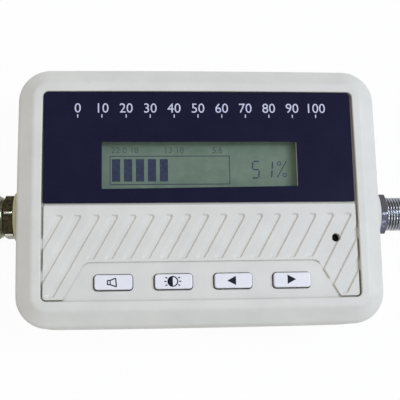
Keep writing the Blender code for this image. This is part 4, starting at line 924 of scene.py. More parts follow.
def screw_bores():
    mouth = COUNTERBORE_RADIUS + COUNTERBORE_EDGE
    corner = (COUNTERBORE_RADIUS, -LIP_LIFT)
    lip = rounding((COUNTERBORE_RADIUS, COUNTERBORE_EDGE), corner, (mouth, -LIP_LIFT))
    stations = [
        (mouth, -WALL),
        *reversed(lip),
        (COUNTERBORE_RADIUS, COUNTERBORE_DEPTH),
        (SCREW_HOLE_RADIUS, COUNTERBORE_DEPTH),
        (SCREW_HOLE_RADIUS, COLUMN_TOP + WALL),
    ]
    return upright_loft(corner_places(*POST_PLACE), stations, COLUMN_SIDES)


def build_rear_case(material):
    steps = [
        ("UNION", half_bosses(-1)),
        ("UNION", rear_lip()),
        ("DIFFERENCE", rear_cavity()),
        ("UNION", corner_rods(POST_PLACE, COLUMN_RADIUS, FLOOR_THICKNESS / 2, COLUMN_TOP, COLUMN_SIDES)),
        ("DIFFERENCE", screw_bores()),
        ("DIFFERENCE", barrel_bores()),
    ]
    make_piece("rear_shell", rear_shell(), material, "rear_case", steps=steps)


def thread_depth(along, angle, pitch):
    """How deep a V thread with flat crests is at a point, from 0 at its crest to 1 at its root."""
    phase = (along / pitch - angle / (2 * pi)) % 1
    return max(0, min(1, (1 - abs(2 * phase - 1) - CREST_SHARE) / (1 - CREST_SHARE - ROOT_SHARE)))


def thread_radii(along, crest, pitch, depth):
    """The (radius, angle) pairs round a threaded rod, at a distance along it."""
    return [(crest - depth * thread_depth(along, angle, pitch), angle) for angle in turn_angles(THREAD_SIDES)]


def screw_rings(centre):
    """A pan head, a rolled thread and a blunt point."""
    corners = [
        (HEAD_RADIUS / 3, HEAD_BOTTOM, 0),
        (HEAD_RADIUS * HEAD_CROWN_SHARE, HEAD_BOTTOM + HEAD_CROWN_RISE_SHARE * HEAD_HEIGHT, HEAD_RADIUS),
        (HEAD_RADIUS, HEAD_BOTTOM + HEAD_SIDE_SHARE * HEAD_HEIGHT, HEAD_RADIUS / 3),
        (HEAD_RADIUS, SCREW_SEAT, PARTING_EDGE),
        (SHANK_RADIUS, SCREW_SEAT, 0),
    ]
    rings = upright_rings(centre, rounded_path(corners, closed=False, steps=BLEND_STEPS), THREAD_SIDES)
    count = int((SCREW_TIP_HEIGHT - SCREW_SEAT - SCREW_POINT) / SCREW_PITCH * COARSE_THREAD_STEPS)
    for step in range(1, count + 1):
        along = step * SCREW_PITCH / COARSE_THREAD_STEPS
        radii = thread_radii(along, SHANK_RADIUS, SCREW_PITCH, SCREW_THREAD)
        rings.append(at_height([polar(centre, *pair) for pair in radii], SCREW_SEAT + along))
    return rings + upright_rings(centre, [(SHANK_RADIUS / 2, SCREW_TIP_HEIGHT)], THREAD_SIDES)


def drive_blade(centre, long_x):
    """One arm of the tapered cross recess, along x or along y."""
    rings = []
    for half_length, half_width, height in DRIVE_STATIONS:
        half_x, half_y = (half_length, half_width) if long_x else (half_width, half_length)
        rings.append(at_height(rounded_rectangle(centre, half_x, half_y, half_width / 3), height))
    return solids(rings)


def build_screws(material):
    for number, centre in enumerate(corner_places(*POST_PLACE), 1):
        steps = [("DIFFERENCE", drive_blade(centre, long_x)) for long_x in (True, False)]
        make_piece(f"case_screw_fine_{number}", solids(screw_rings(centre)), material,
                   f"case_screw_{number}", steps=steps, angle=SCREW_SHARP_ANGLE)


def sheet_rings(outline, edge):
    """The label's side from its underside to its top. The edge is negative in a hole."""
    thick = abs(edge)
    profile = [(edge, LABEL_UNDER), (0, LABEL_UNDER + thick), (0, LABEL_TOP - thick), (edge, LABEL_TOP)]
    return outline_rings(outline, profile)


def build_label(material):
    """The overlay sheet with soft edges, and the display window cut in it."""
    left, right = LABEL_SHIFT - LABEL_HALF_LENGTH, LABEL_SHIFT + LABEL_HALF_LENGTH
    sheet = box(left, LABEL_LOWER_Y, right, LABEL_UPPER_Y)
    radii = [LABEL_LOWER_RADIUS] * 2 + [LABEL_UPPER_RADIUS] * 2
    window = box(WINDOW_LEFT, WINDOW_LOWER, WINDOW_RIGHT, WINDOW_UPPER)
    window[1] = (WINDOW_RIGHT, WINDOW_LOWER + WINDOW_TAPER)
    mesh = bmesh.new()
    outer = chain(mesh, sheet_rings(rounded_box(sheet, radii, LABEL_CORNER_STEPS), LABEL_EDGE))
    hole = chain(mesh, sheet_rings(rounded_box(window, [WINDOW_RADIUS] * 4, KEY_STEPS), -LABEL_EDGE))
    fill_between(mesh, outer[0], hole[0])
    fill_between(mesh, outer[-1], hole[-1])
    make_piece("label_sheet", mesh, material, "front_label")


def print_shape(mesh, outline, surface):
    """A printed patch, a little proud of the surface and rooted in it."""
    loft(mesh, [at_height(outline, surface - INK_ROOT), at_height(outline, surface + INK_RISE)])


def print_band(mesh, outer, inner, surface):
    """A printed band between two outlines of equal point count."""
    low, high = surface - INK_ROOT, surface + INK_RISE
    rings = [at_height(outer, low), at_height(outer, high), at_height(inner, high), at_height(inner, low)]
    loft(mesh, rings, closed=True)


def print_ring(mesh, centre, radius, width, surface, sides=RING_MARK_SIDES):
    print_band(mesh, circle(centre, radius, sides), circle(centre, radius - width, sides), surface)


def print_bar(mesh, start, end, width, surface, pointed=False):
    """A printed stroke between two points, with square or pointed ends."""
    start, end = Vector(start), Vector(end)
    along = (end - start).normalized()
    across = Vector((-along.y, along.x)) * (width / 2)
    if pointed:
        shoulder = along * (width / 2)
        outline = [start, start + shoulder - across, end - shoulder - across,
                   end, end - shoulder + across, start + shoulder + across]
    else:
        outline = [start - across, end - across, end + across, start + across]
    print_shape(mesh, [tuple(point) for point in outline], surface)


def print_number(mesh, words, centre, height, surface):
    """A number in the built-in plain face, as thin solid shapes centred on a point."""
    low, high = surface - INK_ROOT, surface + INK_RISE
    curve = bpy.data.curves.new("number", "FONT")
    curve.body = words
    curve.size = height / FONT_CAP_SHARE
    curve.align_x = "CENTER"
    curve.extrude = (high - low) / 2
    curve.resolution_u = FONT_STEPS
    item = bpy.data.objects.new("number", curve)
    bpy.context.scene.collection.objects.link(item)
    bpy.context.view_layer.update()
    data = bpy.data.meshes.new_from_object(item)
    data.transform(Matrix.Translation((centre[0], centre[1] - height / 2, (low + high) / 2)))
    mesh.from_mesh(data)
    bpy.data.objects.remove(item, do_unlink=True)
    bpy.data.curves.remove(curve)
    bpy.data.meshes.remove(data)
    bmesh.ops.remove_doubles(mesh, verts=mesh.verts, dist=MERGE_DISTANCE)


def build_label_scale(material):
    """A plain scale of numbers and ticks across the top of the label."""
    mesh = bmesh.new()
    for step in range(SCALE_STEPS + 1):
        x = lerp(SCALE_LEFT, SCALE_RIGHT, step / SCALE_STEPS)
        number = str(step * SCALE_LAST_NUMBER // SCALE_STEPS)
        print_number(mesh, number, (x, SCALE_NUMBER_Y), SCALE_NUMBER_HEIGHT, LABEL_TOP)
        print_bar(mesh, (x, SCALE_TICK_Y - SCALE_TICK), (x, SCALE_TICK_Y), SCALE_STROKE, LABEL_TOP)
    make_piece("label_scale", mesh, material)


def build_key(name, centre, material):
    """A key cap that lies a little off its slot's middle, with a flange under the face and a stem."""
    centre = (centre[0] + KEY_PLAY_X, centre[1] + KEY_PLAY_Y)
    stem = rounded_rectangle(centre, KEY_STEM_HALF, KEY_STEM_HALF, KEY_EDGE, KEY_STEPS)
    flange = key_outline(centre, KEY_FLANGE, KEY_RADIUS)
    cap = key_outline(centre, 0, KEY_RADIUS)
    flange_top = FACE_UNDER - PARTING_EDGE
    flange_bottom = flange_top - KEY_FLANGE_THICKNESS
    rings = [
        at_height(stem, KEY_STEM_FOOT),
        at_height(stem, flange_bottom),
        at_height(flange, flange_bottom),
        at_height(flange, flange_top),
        at_height(cap, flange_top),
    ]
    crown = rounding((0, KEY_TOP - KEY_EDGE), (0, KEY_TOP), (KEY_EDGE, KEY_TOP), KEY_STEPS)
    rings += outline_rings(cap, crown)
    make_piece(f"{name}_key_cap", solids(rings), material, f"{name}_key", f"{name}_button")


def speaker_icon(mesh, centre):
    """A loudspeaker in outline: a small box and a horn that opens to the right."""
    corners = [(centre[0] + x * MM, centre[1] + y * MM) for x, y in SPEAKER_POINTS]
    waist = (corners[1], corners[-2])
    for start, end in [*zip(corners, corners[1:] + corners[:1]), waist]:
        print_bar(mesh, start, end, ICON_STROKE, KEY_TOP)


def light_icon(mesh, centre):
    """A sun in outline with three rays on each side and its left half filled."""
    print_ring(mesh, centre, SUN_RADIUS, ICON_STROKE, KEY_TOP)
    angles = [pi * step / DISC_STEPS + pi / 2 for step in range(DISC_STEPS + 1)]
    print_shape(mesh, [polar(centre, SUN_RADIUS - ICON_STROKE / 2, angle) for angle in angles], KEY_TOP)
    for side in (-1, 1):
        for tilt in (-SUN_RAY_TILT, 0, SUN_RAY_TILT):
            along = Vector((side * cos(tilt), sin(tilt)))
            start, end = (Vector(centre) + along * reach for reach in (SUN_RAY_START, SUN_RAY_END))
            print_bar(mesh, start, end, ICON_STROKE, KEY_TOP)


def arrow_icon(side):
    """A filled triangle that points left or right."""
    def draw(mesh, centre):
        x, y = centre
        tip = (x + side * ARROW_LENGTH / 2, y)
        base_x = x - side * ARROW_LENGTH / 2
        base = [(base_x, y + side * ARROW_HEIGHT / 2), (base_x, y - side * ARROW_HEIGHT / 2)]
        print_shape(mesh, [tip, *base], KEY_TOP)
    return draw


def build_icons(material):
    icons = (speaker_icon, light_icon, arrow_icon(-1), arrow_icon(1))
    for name, icon, centre in zip(KEY_NAMES, icons, ICON_PLACES):
        mesh = bmesh.new()
        icon(mesh, centre)
        make_piece(f"{name}_icon", mesh, material, body=f"{name}_button")


def print_digit(mesh, segments, left):
    """A slanted seven-segment digit."""
    ends = {
        "a": ((0, 1), (1, 1)),
        "b": ((1, 0.5), (1, 1)),
        "c": ((1, 0), (1, 0.5)),
        "d": ((0, 0), (1, 0)),
        "e": ((0, 0), (0, 0.5)),
        "f": ((0, 0.5), (0, 1)),
        "g": ((0, 0.5), (1, 0.5)),
    }
    for letter in segments:
        places = []
        for share_x, share_y in ends[letter]:
            y = DIGIT_HEIGHT * share_y
            places.append(Vector((left + DIGIT_WIDTH * share_x + y * DIGIT_SLANT, DIGIT_LOWER + y)))
        start, end = places
        gap = (end - start).normalized() * DIGIT_GAP
        print_bar(mesh, start + gap, end - gap, DIGIT_STROKE, FILM_TOP, pointed=True)


def print_percent(mesh):
    """A slanted stroke between two small rings."""
    middle = Vector(PERCENT_PLACE)
    reach_x, reach_y = PERCENT_RING_REACH
    for dx, dy in ((-1, 1), (1, -1)):
        place = middle + Vector((dx * reach_x + dy * PERCENT_RING_LEAN, dy * reach_y))
        print_ring(mesh, place, PERCENT_RING_RADIUS, PERCENT_RING_STROKE, FILM_TOP, PERCENT_RING_SIDES)
    half = Vector(PERCENT_HALF_SIZE)
    print_bar(mesh, middle - half, middle + half, PERCENT_STROKE, FILM_TOP)


def build_bars(material):
    """The level bars in their frame."""
    mesh = bmesh.new()
    frame_outline = box(*BAR_FRAME)
    print_band(mesh, frame_outline, moved_in(frame_outline, BAR_FRAME_STROKE), FILM_TOP)
    for index in range(BAR_COUNT):
        left = BAR_LEFT + index * BAR_PITCH
        print_shape(mesh, box(left, BAR_LOWER, left + BAR_WIDTH, BAR_UPPER), FILM_TOP)
    make_piece("display_bars", mesh, material)


def build_reading(material):
    """The slanted reading in percent."""
    mesh = bmesh.new()
    for segments, left in DIGITS:
        print_digit(mesh, segments, left)
    print_percent(mesh)
    make_piece("display_digits", mesh, material)


def build_small_numbers(material):
    """A faint row of small numbers."""
    mesh = bmesh.new()
    for words, x in SMALL_NUMBERS:
        print_number(mesh, words, (x, SMALL_NUMBER_Y), SMALL_NUMBER_HEIGHT, FILM_TOP)
    make_piece("display_small_numbers", mesh, material)


def hexagon_radius(from_flat):
    """A nut's radius at an angle from the middle of a flat, with the edge between two flats rounded."""
    round_start = atan((NUT_HALF - NUT_ROUND) * tan(HALF_FLAT_ANGLE) / NUT_HALF)
    if abs(from_flat) < round_start:
        return NUT_HALF / cos(from_flat)
    centre = (NUT_HALF - NUT_ROUND) / cos(HALF_FLAT_ANGLE)
    from_corner = HALF_FLAT_ANGLE - abs(from_flat)
    across = centre * sin(from_corner)
    return centre * cos(from_corner) + sqrt(NUT_ROUND ** 2 - across ** 2)


def hexagon_rings(side, stations, turn):
    """Hexagons round a connector's axis, with their corners cut back to a cone's radius at each distance."""
    rings = []
    for distance, cone in stations:
        ring = []
        for angle in turn_angles(HEXAGON_SIDES):
            from_flat = (angle + HALF_FLAT_ANGLE) % (2 * HALF_FLAT_ANGLE) - HALF_FLAT_ANGLE
            radius = min(hexagon_radius(from_flat), cone)
            ring.append(axis_point(side, distance, radius, angle + turn + HALF_FLAT_ANGLE))
        rings.append(ring)
    return rings


def build_nut(name, side, outer_face, turn, material, replaced):
    """A thin hexagonal nut, chamfered on its outer face, with a countersunk bore."""
    bore = THREAD_CREST + PARTING_EDGE
    stations = [
        (NUT_INNER, bore),
        (NUT_INNER, NUT_HALF),
        (NUT_INNER + NUT_EDGE / 4, NUT_CORNER),
        *straight((outer_face - NUT_EDGE, NUT_CORNER), (outer_face, NUT_FACE_RADIUS), NUT_CHAMFER_STEPS),
        (outer_face, bore + NUT_EDGE / 2),
        (outer_face - NUT_EDGE / 2, bore),
    ]
    make_piece(name, solids(hexagon_rings(side, stations, turn), closed=True), material, replaced)


def coupling_thread():
    """Rings down the thread in the coupling nut's bore, from its end to its lip."""
    length = BARREL_END - COUPLING_LIP_FACE - 2 * BARREL_EDGE
    count = int(length / THREAD_PITCH * COARSE_THREAD_STEPS)
    rings = []
    for step in range(1, count):
        along = length * step / count
        ring = []
        for angle in turn_angles(HEXAGON_SIDES):
            radius = COUPLING_BORE + THREAD_DEPTH * (thread_depth(along, angle, THREAD_PITCH) - 1) / 2
            turned = angle + COUPLING_TURN + HALF_FLAT_ANGLE
            ring.append(axis_point(-1, BARREL_END - BARREL_EDGE - along, radius, turned))
        rings.append(ring)
    return rings


def build_coupling_nut(material):
    """The plug's free nut: a hexagonal sleeve with long chamfers and a threaded bore."""
    chamfer_end = COUPLING_INNER + COUPLING_CHAMFER
    end_chamfer = BARREL_END - COUPLING_END_CHAMFER
    outside = [
        (COUPLING_INNER, COUPLING_NECK),
        *straight((COUPLING_INNER, COUPLING_FACE_RADIUS), (chamfer_end, NUT_CORNER), COUPLING_CHAMFER_STEPS),
        *straight((end_chamfer, NUT_CORNER), (BARREL_END, NUT_FACE_RADIUS), COUPLING_END_STEPS),
        (BARREL_END, COUPLING_BORE + BARREL_EDGE),
        (BARREL_END - BARREL_EDGE, COUPLING_BORE),
    ]
    lip = [(COUPLING_LIP_FACE, COUPLING_BORE), (COUPLING_LIP_FACE, COUPLING_NECK)]
    rings = hexagon_rings(-1, outside, COUPLING_TURN) + coupling_thread()
    rings += hexagon_rings(-1, lip, COUPLING_TURN)
    make_piece("coupling_nut_sleeve", solids(rings, closed=True), material,
               "left_coupling_nut", "coupling_nut")


def barrel_thread():
    """Rings along the jack's thread, which fades out towards the mouth."""
    start = FLANGE_OUTER + PARTING_EDGE
    end = BARREL_END - THREAD_DEPTH
    length = end - start
    count = int(length / THREAD_PITCH * THREAD_STEPS)
    rings = []
    for step in range(count + 1):
        distance = start + length * step / count
        fade = min(1, (end - distance) / THREAD_PITCH + RUNOUT_SHARE)
        radii = thread_radii(distance, THREAD_CREST, THREAD_PITCH, THREAD_DEPTH * fade)
        rings.append([axis_point(1, distance, *pair) for pair in radii])
    return rings


def build_right_shell(material):
    """The jack's shell: a flanged tail inside the case and a threaded barrel with a rounded mouth."""
    tail = [
        (TAIL_INNER, JACK_BORE),
        (TAIL_INNER, TAIL_RADIUS),
        (FLANGE_INNER, TAIL_RADIUS),
        (FLANGE_INNER, FLANGE_RADIUS),
        (FLANGE_OUTER, FLANGE_RADIUS),
        (FLANGE_OUTER, THREAD_CREST),
    ]
    mouth = [
        (BARREL_END, THREAD_CREST - THREAD_DEPTH),
        (BARREL_END, JACK_BORE + BARREL_EDGE),
        (BARREL_END - BARREL_EDGE, JACK_BORE),
    ]
    rings = jack_rings(1, tail, THREAD_SIDES) + barrel_thread() + jack_rings(1, mouth, THREAD_SIDES)
    make_piece("jack_shell", solids(rings, closed=True), material, "right_jack_shell")


def build_insulator(name, side, radius, face, material, replaced):
    """A turned plastic insulator with a funnel that guides the pin to its hole."""
    hole = CONTACT_RADIUS + PARTING_EDGE
    stations = [
        (TAIL_INNER, hole),
        (TAIL_INNER, radius),
        (face - BARREL_EDGE / 2, radius),
        (face, radius - BARREL_EDGE / 2),
        (face, hole + BARREL_EDGE),
        (face - BARREL_EDGE, hole),
    ]
    make_piece(name, solids(jack_rings(side, stations), closed=True), material, replaced)


def build_pin(material):
    """The plug's centre pin with a rounded tip."""
    tip = rounding((PIN_END - 2 * CONTACT_RADIUS, CONTACT_RADIUS), (PIN_END, CONTACT_RADIUS),
                   (PIN_END, CONTACT_RADIUS / 4), PIN_TIP_STEPS)
    pin = solids(jack_rings(-1, [(CONTACT_INNER, CONTACT_RADIUS), *tip], CONTACT_SIDES))
    make_piece("plug_pin", pin, material, "left_plug_pin")


def build_socket(material):
    """The jack's spring contact: a hollow end split into two leaves by a slot."""
    bore = CONTACT_RADIUS * SOCKET_BORE_SHARE
    bottom = SOCKET_END - SOCKET_DEPTH
    stations = [
        (CONTACT_INNER, CONTACT_RADIUS),
        (SOCKET_END - PARTING_EDGE, CONTACT_RADIUS),
        (SOCKET_END, CONTACT_RADIUS - PARTING_EDGE / 2),
        (SOCKET_END, bore),
        (bottom, bore),
        (bottom - bore, bore / 4),
    ]
    half_slot = CONTACT_RADIUS * SOCKET_SLOT_SHARE
    reach = CONTACT_RADIUS * 2
    outline = rounded_rectangle((SOCKET_END, JACK_Y), SOCKET_DEPTH, half_slot, 0)
    slot = outline_loft(outline, [(0, JOINT_HEIGHT - reach), (0, JOINT_HEIGHT + reach)])
    make_piece("jack_contact", solids(jack_rings(1, stations, CONTACT_SIDES)), material,
               "right_jack_contact", steps=[("DIFFERENCE", slot)])


def build_washer(name, side, material, replaced):
    """A toothed lock washer between the shell's flange and the case."""
    bore = [THREAD_CREST + LIP_FIT] * (4 * WASHER_TEETH)
    valley = WASHER_RADIUS - WASHER_TOOTH
    rim = [valley, valley, WASHER_RADIUS, WASHER_RADIUS] * WASHER_TEETH
    angles = turn_angles(4 * WASHER_TEETH)
    profile = [(WASHER_INNER, bore), (WASHER_INNER, rim), (WASHER_OUTER, rim), (WASHER_OUTER, bore)]
    rings = []
    for distance, radii in profile:
        rings.append([axis_point(side, distance, radius, angle) for radius, angle in zip(radii, angles)])
    make_piece(name, solids(rings, closed=True), material, replaced)


def linear(colour):
    """A 0-255 screen colour as the linear values that a shader takes."""
    shares = [value / 255 for value in colour]
    values = [share / 12.92 if share <= 0.04045 else ((share + 0.055) / 1.055) ** 2.4 for share in shares]
    return (*values, 1.0)


class Finish:
    """A procedural material: its node tree, its shader and the object's own coordinates."""

    def __init__(self, name):
        self.material = bpy.data.materials.new(name)
        self.material.use_nodes = True
        self.tree = self.material.node_tree
        self.shader = self.tree.nodes["Principled BSDF"]
        self.place = self.node("ShaderNodeTexCoord").outputs["Object"]

    def feed(self, socket, value):
        """Sets a socket to a value, or links it to the socket that is the value."""
        if isinstance(value, bpy.types.NodeSocket):
            self.tree.links.new(value, socket)
        else:
            socket.default_value = value

    def node(self, kind, inputs=None, **settings):
        """A shader node. Its inputs are values or the sockets that feed them."""
        node = self.tree.nodes.new(kind)
        for key, value in settings.items():
            setattr(node, key, value)
        for key, value in (inputs or {}).items():
            self.feed(node.inputs[key], value)
        return node

    def math(self, operation, first, second):
        return self.node("ShaderNodeMath", {0: first, 1: second}, operation=operation).outputs[0]

    def vector_math(self, operation, *inputs):
        return self.node("ShaderNodeVectorMath", dict(enumerate(inputs)), operation=operation).outputs

    def noise(self, scale, detail, roughness=0.55, place=None):
        """Noise with its scale given as features per millimetre."""
        inputs = {
            "Vector": place or self.place,
            "Scale": scale / MM,
            "Detail": detail,
            "Roughness": roughness,
        }
        return self.node("ShaderNodeTexNoise", inputs).outputs["Fac"]

    def span(self, value, onto=(0.0, 1.0), out_of=(0.3, 0.7)):
        """A value taken from one range onto another, and held at that range's ends."""
        inputs = {
            "Value": value,
            "From Min": out_of[0],
            "From Max": out_of[1],
            "To Min": onto[0],
            "To Max": onto[1],
        }
        return self.node("ShaderNodeMapRange", inputs).outputs["Result"]

    def along(self):
        """The place along the connectors' axis."""
        return self.node("ShaderNodeSeparateXYZ", {0: self.place}).outputs["X"]

    def put(self, name, value):
        """Sets one of the shader's inputs, or links it."""
        self.feed(self.shader.inputs[name], value)

    def mix(self, factor, *colours):
        """A mix of two colours, each a socket or a 0-255 screen colour."""
        node = self.node("ShaderNodeMix", data_type="RGBA")
        self.feed(next(socket for socket in node.inputs if socket.name == "Factor"), factor)
        sockets = [socket for socket in node.inputs if socket.type == "RGBA"]
        for socket, colour in zip(sockets, colours):
            self.feed(socket, colour if isinstance(colour, bpy.types.NodeSocket) else linear(colour))
        return next(socket for socket in node.outputs if socket.type == "RGBA")

    def cover(self, colour, roughness, heights):
        """Sets the shader's colour and gloss, and bumps added one on another, each (value, depth in mm)."""
        normal = None
        for value, depth in heights:
            inputs = {"Height": value, "Distance": depth * MM, "Strength": 1.0}
            if normal:
                inputs["Normal"] = normal
            normal = self.node("ShaderNodeBump", inputs).outputs["Normal"]
        self.put("Base Color", colour)
        self.put("Roughness", roughness)
        self.put("Normal", normal)


def moulded(name, with_painted_shade=False):
    """Plastic with a faint mottle in its colour and gloss and a fine moulded grain.

    With the flag set, it also has painted shade in its crevices and a painted warm shade at the left
    connector.
    """
    dark, light, mottle, roughness, grain, depth, *specular = PLASTICS[name]
    finish = Finish(name)
    broad = finish.noise(mottle, 5.0)
    fine = finish.noise(grain, 3.0)
    colour = finish.mix(finish.span(broad), dark, light)
    if with_painted_shade:
        # Painted warm shade towards the case's left end
        colour = finish.mix(finish.span(finish.along(), out_of=PAINTED_LEFT_SHADE_SPAN), colour, PAINTED_LEFT_SHADE_COLOUR)
        # Painted shade: darker colour in crevices, from an ambient occlusion node
        openness = finish.node("ShaderNodeAmbientOcclusion", {"Distance": CREVICE_REACH}).outputs["AO"]
        colour = finish.mix(finish.span(openness, out_of=CREVICE_OPENNESS), PAINTED_CREVICE_SHADE, colour)
    finish.cover(colour, finish.span(fine, roughness), [(fine, depth), (broad, depth * 2)])
    if specular:
        finish.put("Specular IOR Level", specular[0])
    return finish.material


def turned_place(finish):
    """Coordinates that are the same all round a connector's axis, and the distance from it."""
    centred = finish.vector_math("SUBTRACT", finish.place, (0, JACK_Y, JOINT_HEIGHT))[0]
    across = finish.vector_math("MULTIPLY", centred, (0, 1, 1))[0]
    radius = finish.vector_math("LENGTH", across)["Value"]
    marks = finish.node("ShaderNodeCombineXYZ", {"X": finish.along(), "Y": radius, "Z": 0.0}).outputs[0]
    return marks, radius


def plated(name, lathe=True, thread_root_shade=None, painted_edge_glint=None, grime=0):
    """Plated metal with a clouded tarnish, lathe marks and small scratches.

    It can also have painted shade in its thread's roots, grime spots, or painted highlights on a nut's edges.
    """
    dark, light, roughness, stain = METALS[name]
    finish = Finish(name)
    marks, radius = turned_place(finish) if lathe else (finish.place, None)
    cloud = finish.noise(stain, 5.0, 0.6)
    lines = finish.noise(LATHE_LINES, 2.0, place=marks)
    specks = finish.noise(SCRATCHES, 4.0)
    colour = finish.mix(finish.span(cloud, out_of=CLOUD_SPAN), dark, light)
    # Painted shade: the thread's roots painted darker
    if thread_root_shade:
        flank = (THREAD_CREST - THREAD_DEPTH, THREAD_CREST - THREAD_DEPTH / 3)
        colour = finish.mix(finish.span(radius, out_of=flank), thread_root_shade, colour)
    if grime:
        spots = finish.noise(GRIME_GRAIN, 4.0, 0.7)
        colour = finish.mix(finish.span(spots, (0.0, grime), GRIME_SPOTS), colour, GRIME_COLOUR)
    # Painted highlight: the nut's edges painted bright
    if painted_edge_glint:
        edge = [hexagon_radius(angle) for angle in EDGE_GLINT_ANGLES]
        colour = finish.mix(finish.span(radius, out_of=edge), colour, painted_edge_glint)
    heights = [(lines, LATHE_DEPTH), (specks, SCRATCH_DEPTH)]
    finish.cover(colour, finish.span(cloud, roughness[::-1]), heights)
    finish.put("Metallic", 1.0)
    return finish.material


def display_film():
    """The display's grey-green surface: a cloudy film with fine specks."""
    finish = Finish("display_film")
    broad = finish.noise(0.35, 4.0)
    fine = finish.noise(5.0, 2.0)
    base = finish.mix(finish.span(broad), (95, 114, 100), (110, 128, 112))
    colour = finish.mix(finish.span(fine, (0.0, 0.35)), base, (84, 104, 92))
    finish.cover(colour, finish.span(fine, (0.28, 0.4)), [(fine, 0.004)])
    return finish.material


def glass():
    """Display glass, slightly green, with faint smears."""
    finish = Finish("display_glass")
    smear = finish.noise(0.25, 3.0)
    colour = finish.mix(smear, (205, 222, 210), (225, 236, 228))
    finish.cover(colour, finish.span(smear, (0.03, 0.12)), [(smear, 0.002)])
    finish.put("Transmission Weight", 0.85)
    return finish.material


def circuit_board():
    """Green solder mask over copper tracks, which show as paler raised lines."""
    finish = Finish("circuit_board")
    pattern = {
        "Vector": finish.place,
        "Scale": 0.5 / MM,
        "Mortar Size": 0.07,
        "Mortar Smooth": 0.3,
        "Brick Width": 3.1,
        "Row Height": 0.9,
        "Color1": (0, 0, 0, 1),
        "Color2": (0.25, 0.25, 0.25, 1),
        "Mortar": (1, 1, 1, 1),
    }
    tracks = finish.node("ShaderNodeTexBrick", pattern).outputs["Color"]
    fine = finish.noise(2.0, 3.0)
    colour = finish.mix(tracks, (16, 78, 44), (38, 120, 70))
    finish.cover(colour, finish.span(fine, (0.28, 0.42)), [(tracks, 0.03), (fine, 0.004)])
    return finish.material


def clear_guide():
    """The light guide's frosted acrylic."""
    material = moulded("light_guide")
    material.node_tree.nodes["Principled BSDF"].inputs["Transmission Weight"].default_value = 0.5
    return material


def pale_floor():
    """A white floor that keeps the object's shadow: mostly plain white to the camera, gloss and glass."""
    finish = Finish("pale_floor")
    colour = finish.mix(finish.noise(0.01, 2.0), (226, 226, 226), (232, 232, 232))
    finish.put("Base Color", colour)
    finish.put("Roughness", 0.9)
    rays = finish.node("ShaderNodeLightPath").outputs
    seen = finish.math("MAXIMUM", rays["Is Camera Ray"], rays["Is Glossy Ray"])
    seen = finish.math("MAXIMUM", seen, rays["Is Transmission Ray"])
    share = finish.math("MULTIPLY", seen, FLOOR_WHITE_SHARE)
    white = finish.node("ShaderNodeEmission", {"Color": (1, 1, 1, 1), "Strength": 1.0}).outputs[0]
    mixed = finish.node("ShaderNodeMixShader", {0: share, 1: finish.shader.outputs[0], 2: white})
    finish.feed(finish.tree.nodes["Material Output"].inputs["Surface"], mixed.outputs[0])
    return finish.material


def keep_shapes(names, material):
    """Gives CAD nodes that keep their own shape their material."""
    for name in names:
        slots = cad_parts[name].data.materials
        slots.clear()
        slots.append(material)


def build_inside(screw_steel):
    for name, nodes in PLASTIC_NODES.items():
        keep_shapes(nodes, moulded(name))
    keep_shapes(["lcd_front_polariser"], display_film())
    keep_shapes(["lcd_glass"], glass())
    keep_shapes(["lcd_light_guide"], clear_guide())
    keep_shapes(["main_board"], circuit_board())
    keep_shapes(["tuner_shield"], plated("tin_plate", lathe=False))
    keep_shapes(["timing_crystal"], plated("crystal_can", lathe=False))
    keep_shapes([f"board_screw_{number}" for number in range(1, 5)], screw_steel)


def build_case():
    steel = plated("screw_steel", lathe=False)
    key_white = moulded("key_plastic")
    build_front_case(moulded("case_plastic", with_painted_shade=True))
    build_rear_case(moulded("rear_plastic", with_painted_shade=True))
    build_screws(steel)
    build_label(moulded("label_film"))
    build_label_scale(moulded("label_print"))
    for name, centre in zip(KEY_NAMES, key_places()):
        build_key(name, centre, key_white)
    build_icons(moulded("key_print"))
    build_inside(steel)


def build_display():
    ink = moulded("display_ink")
    build_bars(ink)
    build_reading(ink)
    build_small_numbers(moulded("display_faint_ink"))


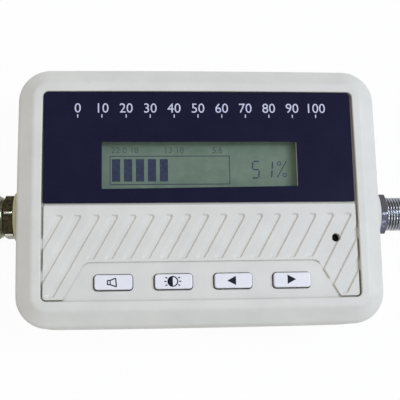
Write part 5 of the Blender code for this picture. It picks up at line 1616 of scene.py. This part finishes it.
def build_connectors():
    bright = plated("bright_nickel")
    # The left nut's darker plating is painted shade for its dark reflections; its bright edges are a painted
    # highlight
    dark = plated("dark_nickel", painted_edge_glint=(236, 234, 224), grime=0.7)
    plastic = moulded("insulator_plastic")
    gold = plated("contact_gold")
    # The thread's roots get painted shade
    build_right_shell(plated("nickel_plate", thread_root_shade=(118, 121, 126)))
    build_nut("right_nut", 1, NUT_OUTER, RIGHT_NUT_TURN, bright, "right_panel_nut")
    build_nut("left_nut", -1, LEFT_NUT_OUTER, LEFT_NUT_TURN, dark, "left_panel_nut")
    build_coupling_nut(plated("coupling_plate", grime=0.6))
    build_insulator("jack_insulator", 1, JACK_BORE - PARTING_EDGE, JACK_FACE, plastic, "right_jack_insulator")
    build_insulator("plug_insulator", -1, PLUG_BORE - PARTING_EDGE, PLUG_FACE, plastic, "left_plug_insulator")
    build_socket(gold)
    build_pin(gold)
    build_washer("right_washer", 1, bright, "right_lock_washer")
    build_washer("left_washer", -1, bright, "left_lock_washer")
    keep_shapes(["left_plug_shell"], dark)


def build_floor():
    mesh = bmesh.new()
    mesh.faces.new([mesh.verts.new((x, y, FLOOR_HEIGHT)) for x, y in circle((0, 0), FLOOR_RADIUS)])
    floor = make_object("floor", mesh)
    floor.data.materials.append(pale_floor())


def build_world():
    """Even, pale light from all round."""
    world = bpy.data.worlds.new("studio")
    bpy.context.scene.world = world
    world.use_nodes = True
    background = world.node_tree.nodes["Background"]
    background.inputs["Color"].default_value = (*WORLD_COLOUR, 1)
    background.inputs["Strength"].default_value = WORLD_STRENGTH


def add_lamp(name, place, size, power, colour):
    """A square soft lamp that shines at the middle of the object."""
    light = bpy.data.lights.new(name, "AREA")
    light.size = size
    light.energy = power
    light.color = colour
    lamp = bpy.data.objects.new(name, light)
    lamp.location = place
    aim = Vector((0, 0, CASE_HEIGHT)) - Vector(place)
    lamp.rotation_euler = aim.to_track_quat("-Z", "Y").to_euler()
    bpy.context.scene.collection.objects.link(lamp)


def build_camera():
    """The photograph's view: from above, a little from the left and below."""
    camera = bpy.data.cameras.new("photo_view")
    camera.lens = LENS
    camera.sensor_width = SENSOR
    camera.clip_start = CLIP_START
    item = bpy.data.objects.new("photo_view", camera)
    turn = Matrix.Rotation(CAMERA_ROLL, 3, "Z") @ Matrix.Rotation(CAMERA_YAW, 3, "Y")
    place = (turn @ Matrix.Rotation(CAMERA_PITCH, 3, "X")).transposed().to_4x4()
    place.translation = CAMERA_PLACE
    item.matrix_world = place
    bpy.context.scene.collection.objects.link(item)
    bpy.context.scene.camera = item


build_camera()
build_world()
build_floor()
for lamp_settings in LAMPS:
    add_lamp(*lamp_settings)
build_case()
build_display()
build_connectors()
bpy.context.scene.view_settings.view_transform = "Standard"
